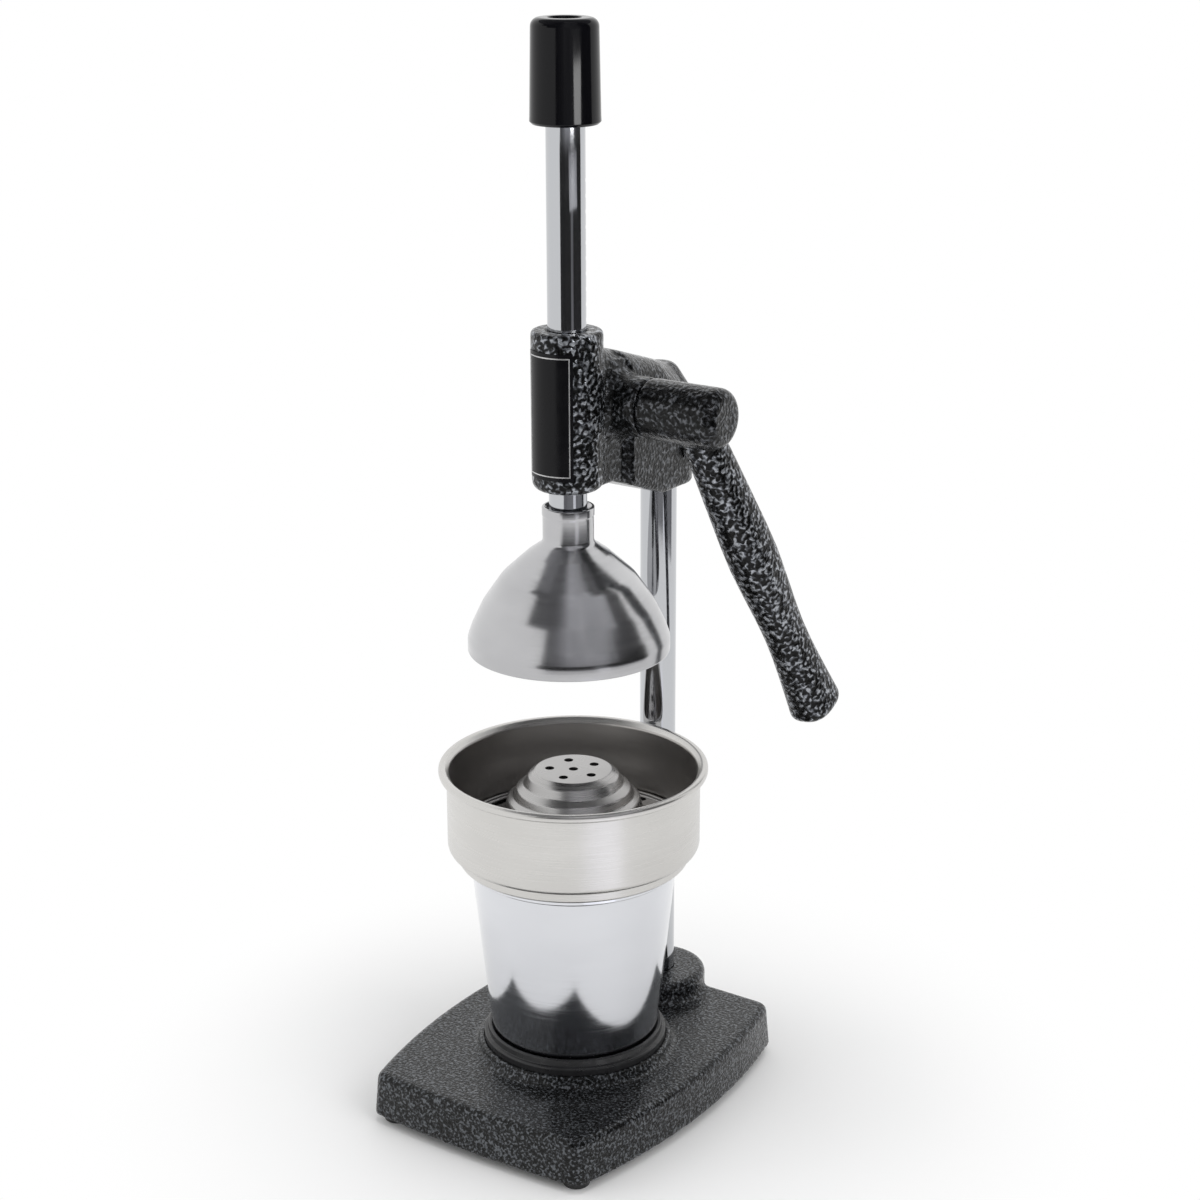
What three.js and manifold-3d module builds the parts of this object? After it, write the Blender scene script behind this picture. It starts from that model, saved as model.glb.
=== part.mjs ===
// A lever citrus press: a cast base carries a chrome column, the column carries a cast head, and a lever
// turns a pinion in the head that drives a rack plunger with a press bell down onto a strainer in a cup.
// Lengths are millimetres. While it is modelled, the floor is z = 0 and the plunger's axis is x = y = 0;
// +X is the lever's side, +Y points back to the column and +Z is up.

import * as THREE from 'three';
import { mergeVertices } from 'three/addons/utils/BufferGeometryUtils.js';
import Module from 'manifold-3d';

const wasm = await Module();
wasm.setup();

// Fits and facets
const seatGap = 0.3;                  // room between pieces that touch, slide or turn in each other
const overrun = 1;                    // how far a cutter passes the face that it opens
const smallFilletTurn = Math.PI / 2;  // turn of one facet in a small fillet
const largeFilletTurn = Math.PI / 6;
const largeFillet = 2.5;              // radius from which a fillet counts as large
const wideSides = 28;                 // facets round the bell, bowl, cup and seat
const castSides = 18;                 // facets round the castings' bosses and the lever's hub
const barSides = 16;                  // facets round bars, bushes and the cap
const screwSides = 8;                 // facets round screws, feet and small holes

// Rubber feet
const footHeight = 4;
const footRadius = 6;
const footStemRadius = 2.5;
const footStemLength = 5;
const footEdge = 1;
const footInsetFront = 8.6;           // foot centre in from the base's front edge
const footInsetBack = 9;
const footInsetSide = 6.6;

// Base casting
const baseHeight = 19.7;
const baseFront = 71.3;               // plunger axis to the front edge
const baseBehindColumn = 12.7;        // column axis to the back edge
const baseAside = -1.8;               // casting's middle beside the plunger's axis
const baseHalfFront = 54.3;
const baseHalfBack = 57;
const baseSideBulge = 10.2;
const baseFrontBulge = 2.4;
const baseBackBulge = 0.4;
const baseCorner = 10;
const baseDraft = 1.3;
const baseEdge = 2.6;
const baseWall = 4.5;
const basePlate = 5;
const baseRib = 4;
const baseRibLift = 3;                // rib's lower edge above the casting's lower edge
const footBossRadius = 7;
const columnBossRadius = 22.4;
const columnBossRise = 9.3;
const columnBossFlare = 6;
const columnBossEdge = 3;
const collarRise = 4.4;
const collarWall = 2;
const collarEdge = 0.9;

// Column
const columnRadius = 8;
const columnGap = 0.5;                // room between the bowl's rim and the column
const columnFloor = 17;               // height of the column socket's floor
const socketFloor = 5;                // metal under the column
const columnSocketDepth = 40;         // column's reach into the head
const columnBoltRadius = 4;
const columnBoltReach = 20;
const boltHeadRadius = 7.5;
const boltHeadHeight = 5;
const boltWasherRadius = 9.5;
const boltWasherThickness = 1.5;
const boltRecessRadius = 12;
const hexSides = 6;

// Cup seat, a rubber ring in the base, its axis a little behind the plunger's
const cupBack = 2.5;
const seatWidth = 3.9;                // ring's outside from the cup's bottom edge
const seatShelf = 12.4;               // ring's reach under the cup
const seatRecess = 1.2;
const seatFloorRise = 8.4;            // cup's bottom above the base's top
const seatLipRoom = 0.8;              // room beside the cup inside the lip
const seatLipRise = 2.1;
const seatLipWidth = 1.2;
const seatShoulderDrop = 1;           // outer shoulder below the seat's floor
const seatEdge = 0.9;

// Juice cup
const cupHeight = 81;
const cupTaper = 0.8107;              // bottom radius as a share of the mouth's
const cupUnderBowl = 9.7;             // cup's mouth in from the bowl's side
const cupWall = 1.4;
const cupFoot = 5;                    // rounding of the cup's bottom edge
const cupBeadHeight = 2.6;
const cupBeadOut = 1.9;
const cupBeadEdge = 1;

// Strainer bowl
const bowlCollarDepth = 8;
const bowlCollarWall = 1.6;
const bowlUnderside = 1.4;
const bowlBandStep = 4.4;             // lower band in from the bowl's side
const bowlBandHeight = 4.8;
const bowlRadius = 54.6;
const bowlRounding = 5;
const bowlHeight = 42.7;              // underside to rim
const bowlWall = 1.2;
const bowlRimOut = 3.4;
const bowlRimHeight = 3.6;
const bowlRimEdge = 1.6;
const bowlStepRise = 1;

// Reamer cone with its perforated flange
const reamerTopShare = 0.3155;        // top disc's radius as a share of the flange's
const reamerHeight = 31.5;            // flange's underside to the top disc
const reamerWall = 1.6;
const reamerRoom = 1.1;               // room between the flange and the bowl
const reamerFlangeLip = 1.4;
const reamerRimDrop = 1.55;           // rim's reach below the flange, onto the bowl's ledge
const reamerFlangeFloor = 8.5;        // flange's underside above the bowl's underside
const reamerRadiusShares = [1, 1.24, 1.3, 1.5, 1.58, 1.74, 1.86, 1.97, 2.2, 2.28];
const reamerHeightShares = [1, 0.92, 0.80, 0.74, 0.64, 0.59, 0.33, 0.25, 0.21, 0.05];
const reamerFilletShares = [0.05, 0.12, 0, 0.12, 0, 0.12, 0, 0, 0.07, 0];
const reamerHoleRadius = 2;
const reamerHoleCircle = 10.3;
const reamerHoleCount = 5;
const reamerHoleTurn = -7.5 * Math.PI / 180;
const slotWidth = 3.6;
const slotLength = 12;
const innerSlotInset = 10.7;          // slots' middle in from the flange's edge
const innerSlotCount = 14;
const outerSlotInset = 4.7;
const outerSlotCount = 14;

// Plunger rod and its rack
const rodRadius = 8;
const rodLength = 201.3;
const rodDrop = 57.1;                 // rod's bottom under the pinion's axis, plunger up
const rackModule = 2;
const pinionTeeth = 15;
const toothAddendum = 1.8;
const toothDedendum = 2.4;
const toothAngle = 25 * Math.PI / 180;
const toothBacklash = 0.5;
const rackPitchDepth = 5.5;           // rod axis to the rack's pitch line
const rackSpacesBelow = 3;            // tooth spaces under the pinion's axis at rest
const rackSpacesAbove = 15;
const rodScrewDepth = 16;

// Grip cap on the rod's top
const capHeight = 41.4;
const capRise = 13.7;                 // cap's top above the rod's top
const capLowerRadius = 14.4;
const capUpperRadius = 13.6;
const capTopEdge = 6.5;
const capLowerEdge = 1;
const capRecessRadius = 6.6;
const capRecessDepth = 6;
const capScrewRadius = 2.2;
const capScrewHeadRadius = 4.6;
const capScrewHeadHeight = 2.6;
const capScrewReach = 12;

// Press bell
const bellRimDrop = 46.4;             // rim under the rod's bottom
const bellRoom = 11.9;                // rim in from the bowl's side
const bellDomeHeight = 45.4;
const bellWall = 3;
const bellNeckRadius = 11;
const bellNeckGrip = 16;              // neck's reach up the rod
const bellNeckEdge = 0.8;
const bellNeckSink = 1.6;             // countersink round the rod at the neck's top
const bellCrown = 7;                  // metal between the rod's end and the hollow
const bellRadiusShares = [1, 0.995, 0.939, 0.829, 0.663, 0.4145, 0.262];
const bellHeightShares = [0, 0.05, 0.26, 0.476, 0.698, 0.927, 1.03];
const bellSteps = 9;                  // facets from rim to neck, outside and inside
const bellInnerSteps = 7;
const bellScrewRadius = 4;
const bellScrewHeadRadius = 7.2;
const bellScrewHeadHeight = 5;
const bellWasherRadius = 9;
const bellWasherThickness = 1.6;

// Head casting; its heights are measured from the pinion's axis
const frontBossRadius = 14.9;
const frontBossDrop = 34;
const frontBossRise = 33.4;
const frontBossTopEdge = 2;
const frontBossBottomEdge = 4;
const webHalfWidth = 11.5;
const webDrop = 33.4;
const webBack = 18;                   // where the head's lower line starts to fall
const blockStart = 24;                // where the web widens to the rear block
const blockHalfWidth = 14.7;
const blockLead = 3;                  // length of the rounded step from web to block
const blockFlatStart = 52;            // where the head's lower line is level again
const blockDrop = 45.9;
const headRise = 29.4;                // head's upper line over the plunger's axis
const headTopSlope = 0.3218;          // fall of that line for each millimetre back
const headShoulder = [5.9, 5.9];      // shoulder's cut-in and its depth, over the web
const rearShoulder = [8.2, 12.9];     // the same over the column
const headShoulderRound = 10;
const headLowerEdge = 1.6;
const boreEdge = 0.8;

// Pinion, shaft, bearings and cover
const pinionHeight = 313.4;
const pinionHalfWidth = 6;
const pocketSide = 0.8;               // room beside the pinion
const pocketRadius = 17.6;
const shaftRadius = 6;
const shaftLeft = 20.5;
const bushRadius = 8;
const barrelRadius = 12.7;
const barrelEnd = 27;
const barrelEdge = 0.8;
const barrelFillet = 5;               // hollow rounding from the web to the barrel
const drumRadius = 19.5;
const coverThickness = 2.8;
const coverBossRadius = 9.5;
const coverBossLength = 4.2;
const coverEdge = 0.8;
const coverLugRadius = 4.6;
const coverLugReach = 23.7;           // pinion's axis to each lug's screw
const coverLugTurns = [-15, -62, -118]; // degrees up from straight back
const coverScrewRadius = 1.9;
const coverScrewHeadRadius = 3.6;
const coverScrewHeadHeight = 2.2;
const coverScrewReach = 8;
const keyWidth = 4;
const keyHeight = 4;
const keyLength = 10;

// Clamp screw that holds the head on the column
const clampRise = 15.5;               // screw above the block's lower face
const clampScrewRadius = 2.4;
const clampScrewHeadRadius = 3.6;
const clampScrewHeadHeight = 2.4;

// Lever
const leverHubEnd = 64.2;
const leverHubEdge = 5;
const leverBoreEnd = 56;
const leverLength = 151;              // hub axis to the end's centre, seen along the hub
const leverTilt = 23.75 * Math.PI / 180;  // swing behind straight down, at rest
const leverRootOut = 47.7;            // arm's centre line from the plunger's axis, at the hub
const leverEndOut = 73.7;
const leverWidth = 20.6;
const leverDepthShare = 0.84;         // arm's thickness as a share of its width
const leverRoundShare = 0.22;         // length of the rounded end as a share of the end's width
const leverRoundTurn = 76.5 * Math.PI / 180;  // sweep of that rounding, short of a point
const leverPlaceShares = [0, 0.1, 0.2, 0.32, 0.48, 0.58, 0.68, 0.8, 0.94, 1];
const leverWidthShares = [0.8, 0.88, 0.955, 1.03, 1.1, 1.025, 0.935, 0.93, 1.08, 1.16];
const leverSquareness = 2.5;
const leverSides = 14;
const leverEndRings = 3;
const grubScrewRadius = 3;
const grubScrewLength = 5.5;
const grubTilt = 30 * Math.PI / 180;
const grubOut = 43;

// Derived sizes and places
const columnBack = cupBack + bowlRadius + bowlRimOut + columnGap + columnRadius;
const baseBack = columnBack + baseBehindColumn;
const bowlBandRadius = bowlRadius - bowlBandStep;
const cupMouthRadius = bowlRadius - cupUnderBowl;
const cupBottomRadius = cupMouthRadius * cupTaper;
const seatOuterRadius = cupBottomRadius + seatWidth;
const seatHoleRadius = cupBottomRadius - seatShelf;
const seatLipRadius = cupBottomRadius + seatLipRoom;
const reamerFlangeRadius = bowlRadius - bowlWall - reamerRoom;
const reamerTopRadius = reamerFlangeRadius * reamerTopShare;
const innerSlotCircle = reamerFlangeRadius - innerSlotInset;
const outerSlotCircle = reamerFlangeRadius - outerSlotInset;
const bellRimRadius = bowlRadius - bellRoom;
const baseTop = footHeight + baseHeight;
const seatBase = baseTop - seatRecess;
const cupFloor = baseTop + seatFloorRise + seatGap;
const cupTop = cupFloor + cupHeight;
const bowlBase = cupTop + seatGap;
const reamerBase = bowlBase + reamerFlangeFloor;
const pinionPitchRadius = rackModule * pinionTeeth / 2;
const pinionBack = rackPitchDepth + pinionPitchRadius;
const toothPitch = Math.PI * rackModule;
const rodBottom = pinionHeight - rodDrop;
const rodTop = rodBottom + rodLength;
const capTop = rodTop + capRise;
const capBottom = capTop - capHeight;
const bellRim = rodBottom - bellRimDrop;
const bellNeckTop = rodBottom + bellNeckGrip;
const frontBossBottom = pinionHeight - frontBossDrop;
const frontBossTop = pinionHeight + frontBossRise;
const webBottom = pinionHeight - webDrop;
const blockBottom = pinionHeight - blockDrop;
const clampHeight = blockBottom + clampRise;
const headTopAtAxis = pinionHeight + headRise;
const headBlockTop = headTopAtAxis - headTopSlope * columnBack;
const columnTop = blockBottom + columnSocketDepth;

// Finishes
function finish(color, roughness, metalness) {
  return new THREE.MeshStandardMaterial({ color, roughness, metalness });
}
const hammertone = finish(0x3c4043, 0.4, 0.35);
const chrome = finish(0xd8dadd, 0.08, 1);
const castAluminium = finish(0xb9bbbf, 0.25, 1);
const stainless = finish(0xc3c1bd, 0.35, 1);
const steel = finish(0x9ea1a6, 0.35, 1);
const bronze = finish(0xa9824a, 0.4, 1);
const blackPlastic = finish(0x0c0c0d, 0.15, 0);
const blackRubber = finish(0x141516, 0.6, 0);

// Turns a closed three.js geometry into a solid; joined vertices and no empty triangles.
function toSolid(geometry) {
  geometry.deleteAttribute('normal');
  geometry.deleteAttribute('uv');
  const merged = mergeVertices(geometry);
  const faces = [];
  const index = merged.index.array;
  for (let i = 0; i < index.length; i += 3) {
    const [a, b, c] = index.slice(i, i + 3);
    if (a !== b && b !== c && c !== a) faces.push(a, b, c);
  }
  return new wasm.Manifold(new wasm.Mesh({
    numProp: 3,
    vertProperties: new Float32Array(merged.attributes.position.array),
    triVerts: new Uint32Array(faces),
  }));
}

// Turns a solid into a named mesh of the scene.
function piece(name, material, solid) {
  const mesh = solid.getMesh();
  const geometry = new THREE.BufferGeometry();
  geometry.setAttribute('position', new THREE.BufferAttribute(new Float32Array(mesh.vertProperties), 3));
  geometry.setIndex(new THREE.BufferAttribute(new Uint32Array(mesh.triVerts), 1));
  geometry.computeVertexNormals();
  const result = new THREE.Mesh(geometry, material);
  result.name = name;
  return result;
}

function join(...solids) {
  return solids.reduce((whole, next) => whole.add(next));
}

function cut(solid, ...tools) {
  return tools.reduce((rest, tool) => rest.subtract(tool), solid);
}

// Points of an outline from its corners [x, y, fillet radius]. An open outline keeps its two ends sharp.
function outline(corners, closed = true) {
  const points = [];
  corners.forEach(([x, y, radius = 0], i) => {
    const here = new THREE.Vector2(x, y);
    const isEnd = !closed && (i === 0 || i === corners.length - 1);
    if (radius === 0 || isEnd) {
      points.push(here);
      return;
    }
    const last = corners[(i + corners.length - 1) % corners.length];
    const next = corners[(i + 1) % corners.length];
    const back = new THREE.Vector2(last[0], last[1]).sub(here);
    const ahead = new THREE.Vector2(next[0], next[1]).sub(here);
    const room = Math.min(back.length(), ahead.length()) / 2;
    back.normalize();
    ahead.normalize();
    const halfAngle = Math.acos(THREE.MathUtils.clamp(back.dot(ahead), -1, 1)) / 2;
    const reach = Math.min(radius / Math.tan(halfAngle), room);
    const middle = back.clone().add(ahead).normalize();
    const centre = here.clone().addScaledVector(middle, reach / Math.cos(halfAngle));
    const start = here.clone().addScaledVector(back, reach).sub(centre);
    const turn = (Math.PI - 2 * halfAngle) * Math.sign(ahead.cross(back));
    const facetTurn = radius < largeFillet ? smallFilletTurn : largeFilletTurn;
    const steps = Math.max(1, Math.round(Math.abs(turn) / facetTurn));
    for (let s = 0; s <= steps; s++) {
      points.push(start.clone().rotateAround(new THREE.Vector2(), turn * s / steps).add(centre));
    }
  });
  return points;
}

// Revolved solid about an upright axis at (x, y). The profile holds points (radius, height); it either
// starts and ends on the axis or closes on itself.
function turned(profile, sides, x = 0, y = 0) {
  const points = [...profile];
  if (points[0].x > 0 || points.at(-1).x > 0) points.push(points[0].clone());
  const geometry = new THREE.LatheGeometry(points, sides);
  geometry.rotateX(Math.PI / 2);
  geometry.translate(x, y, 0);
  return toSolid(geometry);
}

// The same about an axis along +X at (y, z). The profile holds points (radius, x).
function turnedAlongX(profile, sides, y, z) {
  const points = [...profile];
  if (points[0].x > 0 || points.at(-1).x > 0) points.push(points[0].clone());
  const geometry = new THREE.LatheGeometry(points, sides);
  const basis = new THREE.Matrix4().makeBasis(
    new THREE.Vector3(0, 1, 0), new THREE.Vector3(1, 0, 0), new THREE.Vector3(0, 0, -1));
  geometry.applyMatrix4(basis);
  geometry.translate(0, y, z);
  return toSolid(geometry);
}

function bar(radius, from, to, sides, x = 0, y = 0) {
  return turned(outline([[0, from], [radius, from], [radius, to], [0, to]], false), sides, x, y);
}

function barAlongX(radius, from, to, sides, y, z) {
  return turnedAlongX(outline([[0, from], [radius, from], [radius, to], [0, to]], false), sides, y, z);
}

function tubeAlongX(outer, inner, from, to, sides, y, z) {
  return turnedAlongX(outline([[inner, from], [outer, from], [outer, to], [inner, to]]), sides, y, z);
}

function extruded(points, depth) {
  return new THREE.ExtrudeGeometry(new THREE.Shape(points), { depth, bevelEnabled: false });
}

// Upright prism over an outline in x and y.
function prism(points, from, to) {
  const geometry = extruded(points, to - from);
  geometry.translate(0, 0, from);
  return toSolid(geometry);
}

// Prism along +X over an outline in y and z.
function prismAlongX(points, from, to) {
  const geometry = extruded(points, to - from);
  const basis = new THREE.Matrix4().makeBasis(
    new THREE.Vector3(0, 1, 0), new THREE.Vector3(0, 0, 1), new THREE.Vector3(1, 0, 0));
  geometry.applyMatrix4(basis);
  geometry.translate(from, 0, 0);
  return toSolid(geometry);
}

// Skin through rings of equally many points, with a fan closing each end.
function loft(rings) {
  const count = rings[0].length;
  const positions = [];
  const middle = (ring) => ring.reduce((sum, p) => sum.add(p), new THREE.Vector3()).divideScalar(count);
  const triangle = (a, b, c) => positions.push(...a, ...b, ...c);
  for (let i = 0; i + 1 < rings.length; i++) {
    for (let j = 0; j < count; j++) {
      const k = (j + 1) % count;
      triangle(rings[i][j], rings[i][k], rings[i + 1][k]);
      triangle(rings[i][j], rings[i + 1][k], rings[i + 1][j]);
    }
  }
  const first = rings[0];
  const last = rings.at(-1);
  for (let j = 0; j < count; j++) {
    const k = (j + 1) % count;
    triangle(middle(first), first[k], first[j]);
    triangle(middle(last), last[j], last[k]);
  }
  const geometry = new THREE.BufferGeometry();
  geometry.setAttribute('position', new THREE.Float32BufferAttribute(positions, 3));
  return toSolid(geometry);
}

// Points set off to the left of an open polyline by a wall.
function offset(points, wall) {
  const steps = points.slice(1).map((point, i) => point.clone().sub(points[i]).normalize());
  return points.map((point, i) => {
    const direction = (steps[i - 1] ?? steps[0]).clone().add(steps[i] ?? steps.at(-1)).normalize();
    return point.clone().add(new THREE.Vector2(-direction.y, direction.x).multiplyScalar(wall));
  });
}

// Base outline at an inset from the casting's lower edge: three bowed sides and a nearly straight back.
function baseOutline(inset) {
  const front = -baseFront + inset;
  const back = baseBack - inset;
  const halfFront = baseHalfFront - inset;
  const halfBack = baseHalfBack - inset;
  const bowed = (x0, y0, x1, y1, bulge, steps) => {
    const from = new THREE.Vector2(x0, y0);
    const chord = new THREE.Vector2(x1, y1).sub(from);
    const normal = new THREE.Vector2(chord.y, -chord.x).normalize();
    return Array.from({ length: steps }, (_, i) => {
      const share = i / steps;
      const rise = 4 * share * (1 - share) * bulge;
      const point = from.clone().addScaledVector(chord, share).addScaledVector(normal, rise);
      return [point.x + baseAside, point.y, i === 0 ? Math.max(baseCorner - inset, baseEdge) : 0];
    });
  };
  return outline([
    ...bowed(-halfFront, front, halfFront, front, baseFrontBulge, 4),
    ...bowed(halfFront, front, halfBack, back, baseSideBulge, 6),
    ...bowed(halfBack, back, -halfBack, back, baseBackBulge, 2),
    ...bowed(-halfBack, back, -halfFront, front, baseSideBulge, 6),
  ]);
}

function footPlaces() {
  const halfFront = baseHalfFront - footInsetSide;
  const halfBack = baseHalfBack - footInsetSide;
  return [
    ['front_left', baseAside - halfFront, -baseFront + footInsetFront],
    ['front_right', baseAside + halfFront, -baseFront + footInsetFront],
    ['back_left', baseAside - halfBack, baseBack - footInsetBack],
    ['back_right', baseAside + halfBack, baseBack - footInsetBack],
  ];
}

function baseCasting() {
  const ring = (inset, z) => baseOutline(inset).map((p) => new THREE.Vector3(p.x, p.y, z));
  const edgeSteps = 3;
  const rings = [ring(0, footHeight)];
  for (let i = 0; i <= edgeSteps; i++) {
    const turn = i / edgeSteps * Math.PI / 2;
    rings.push(ring(
      baseDraft + baseEdge * (1 - Math.cos(turn)), baseTop - baseEdge * (1 - Math.sin(turn))));
  }
  const hollow = loft([
    ring(baseWall, footHeight - overrun),
    ring(baseWall + baseDraft, baseTop - basePlate),
  ]);
  const inside = loft([ring(baseWall / 2, footHeight), ring(baseWall / 2, baseTop - basePlate / 2)]);
  const ribBottom = footHeight + baseRibLift;
  const ribReach = baseHalfBack + baseSideBulge;
  const ribs = [
    [-baseRib / 2, baseRib / 2, -baseFront, columnBack],
    [-ribReach, ribReach, cupBack - baseRib / 2, cupBack + baseRib / 2],
  ].map(([left, right, front, back]) => {
    const rib = outline([[left, front], [right, front], [right, back], [left, back]]);
    return prism(rib, ribBottom, baseTop - basePlate / 2).intersect(inside);
  });
  const footBosses = footPlaces().map(([, x, y]) => (
    bar(footBossRadius, footHeight, baseTop - basePlate / 2, screwSides, x, y).intersect(
      loft([ring(baseDraft, footHeight), ring(baseDraft, baseTop - basePlate / 2)]))));

  const bossTop = baseTop + columnBossRise;
  const boss = turned(outline([
    [0, footHeight], [columnBossRadius, footHeight],
    [columnBossRadius, bossTop, columnBossEdge], [0, bossTop],
  ], false), castSides, 0, columnBack);
  const flareOut = columnBossRadius + columnBossFlare;
  const flare = turned(outline([
    [0, baseTop - basePlate / 2], [flareOut, baseTop - basePlate / 2], [flareOut, baseTop],
    [columnBossRadius, baseTop, columnBossFlare], [columnBossRadius, bossTop - columnBossEdge],
    [0, bossTop - columnBossEdge],
  ], false), castSides, 0, columnBack);
  const topFootprint = prism(baseOutline(baseDraft + baseEdge), footHeight, bossTop);

  const collarInner = seatOuterRadius + seatGap;
  const collar = turned(outline([
    [collarInner - overrun, baseTop - basePlate / 2],
    [collarInner + collarWall + collarEdge, baseTop - basePlate / 2],
    [collarInner + collarWall + collarEdge, baseTop],
    [collarInner + collarWall, baseTop + collarRise / 2],
    [collarInner + collarWall, baseTop + collarRise, collarEdge],
    [collarInner - overrun, baseTop + collarRise],
  ]), wideSides, 0, cupBack);

  const body = join(
    loft(rings).subtract(hollow), ...ribs, ...footBosses, boss, flare.intersect(topFootprint), collar);
  const seatHole = bar(collarInner, seatBase, baseTop + collarRise + overrun, wideSides, 0, cupBack);
  const columnHole = bar(columnRadius + seatGap, columnFloor, bossTop + overrun, barSides, 0, columnBack);
  const boltHole = bar(
    columnBoltRadius + seatGap, footHeight, columnFloor + overrun, screwSides, 0, columnBack);
  const boltRecess = bar(
    boltRecessRadius, footHeight - overrun, columnFloor - socketFloor, barSides, 0, columnBack);
  const stemTop = footHeight + footStemLength + seatGap;
  const stemHoles = footPlaces().map(([, x, y]) => (
    bar(footStemRadius + seatGap, footHeight - overrun, stemTop, screwSides, x, y)));
  return cut(body, seatHole, columnHole, boltHole, boltRecess, ...stemHoles);
}

function rubberFoot(x, y) {
  const top = footHeight - seatGap;
  return turned(outline([
    [0, 0], [footRadius - footEdge / 2, 0], [footRadius, top], [footStemRadius, top],
    [footStemRadius, footHeight + footStemLength], [0, footHeight + footStemLength],
  ], false), screwSides, x, y);
}

function cupSeat() {
  const floor = cupFloor - seatGap;
  const shoulder = floor - seatShoulderDrop;
  return turned(outline([
    [seatHoleRadius, seatBase + seatGap], [seatOuterRadius, seatBase + seatGap],
    [seatOuterRadius, shoulder, seatEdge],
    [seatLipRadius + seatLipWidth, shoulder + seatEdge / 2, seatEdge / 2],
    [seatLipRadius + seatLipWidth, floor + seatLipRise, seatEdge / 2],
    [seatLipRadius, floor + seatLipRise, seatEdge / 2],
    [cupBottomRadius - cupFoot / 2, floor], [seatHoleRadius, floor, seatEdge],
  ]), wideSides, 0, cupBack);
}

function column() {
  const stock = bar(columnRadius, columnFloor + seatGap, columnTop - seatGap, barSides, 0, columnBack);
  const threadTop = columnFloor + columnBoltReach + 2 * seatGap;
  const thread = bar(columnBoltRadius + seatGap, columnFloor, threadTop, screwSides, 0, columnBack);
  return stock.subtract(thread);
}

// Hexagon head under a shank, pointing up.
function hexBolt(headRadius, headHeight, shankRadius, headTop, shankTop, x, y) {
  const head = bar(headRadius, headTop - headHeight, headTop, hexSides, x, y);
  return head.add(bar(shankRadius, headTop - headHeight / 2, shankTop, screwSides, x, y));
}

function columnBolt() {
  const headTop = columnFloor - socketFloor - boltWasherThickness - 2 * seatGap;
  return hexBolt(
    boltHeadRadius, boltHeadHeight, columnBoltRadius, headTop, columnFloor + columnBoltReach, 0, columnBack);
}

// Flat ring about an upright axis.
function washer(outer, inner, from, thickness, x, y) {
  return turned(outline([[inner, from], [outer, from], [outer, from + thickness], [inner, from + thickness]]),
    barSides, x, y);
}

function columnWasher() {
  const from = columnFloor - socketFloor - boltWasherThickness - seatGap;
  return washer(boltWasherRadius, columnBoltRadius + seatGap, from, boltWasherThickness, 0, columnBack);
}

function headTop(y) {
  return headTopAtAxis - headTopSlope * y;
}

function headBottom(y) {
  const share = THREE.MathUtils.clamp((y - webBack) / (blockFlatStart - webBack), 0, 1);
  return webBottom + (blockBottom - webBottom) * share;
}

// Cross-section of the head's neck, upright at a distance back from the plunger: flat foot, round shoulders.
function headSection(y, halfWidth, [cutIn, depth]) {
  return outline([
    [-halfWidth, headBottom(y), headLowerEdge], [halfWidth, headBottom(y), headLowerEdge],
    [halfWidth, headTop(y) - depth, headShoulderRound], [halfWidth - cutIn, headTop(y), headShoulderRound],
    [cutIn - halfWidth, headTop(y), headShoulderRound], [-halfWidth, headTop(y) - depth, headShoulderRound],
  ]).reverse().map((p) => new THREE.Vector3(p.x, y, p.y));
}

function lugCentres() {
  return coverLugTurns.map((degrees) => {
    const turn = THREE.MathUtils.degToRad(degrees);
    return new THREE.Vector2(
      pinionBack + coverLugReach * Math.cos(turn), pinionHeight + coverLugReach * Math.sin(turn));
  });
}

// Plate outline round the pinion with a round-ended lug at each screw, from one x to another.
function drumPlate(radius, lugRadius, from, to) {
  const centre = new THREE.Vector2(pinionBack, pinionHeight);
  const lugs = lugCentres().map((lug) => {
    const across = lug.clone().sub(centre).normalize().rotateAround(new THREE.Vector2(), Math.PI / 2);
    across.multiplyScalar(lugRadius);
    const arm = [
      centre.clone().sub(across), lug.clone().sub(across),
      lug.clone().add(across), centre.clone().add(across),
    ];
    return join(prismAlongX(arm, from, to), barAlongX(lugRadius, from, to, 2 * screwSides, lug.x, lug.y));
  });
  return join(barAlongX(radius, from, to, castSides, centre.x, centre.y), ...lugs);
}

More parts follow.
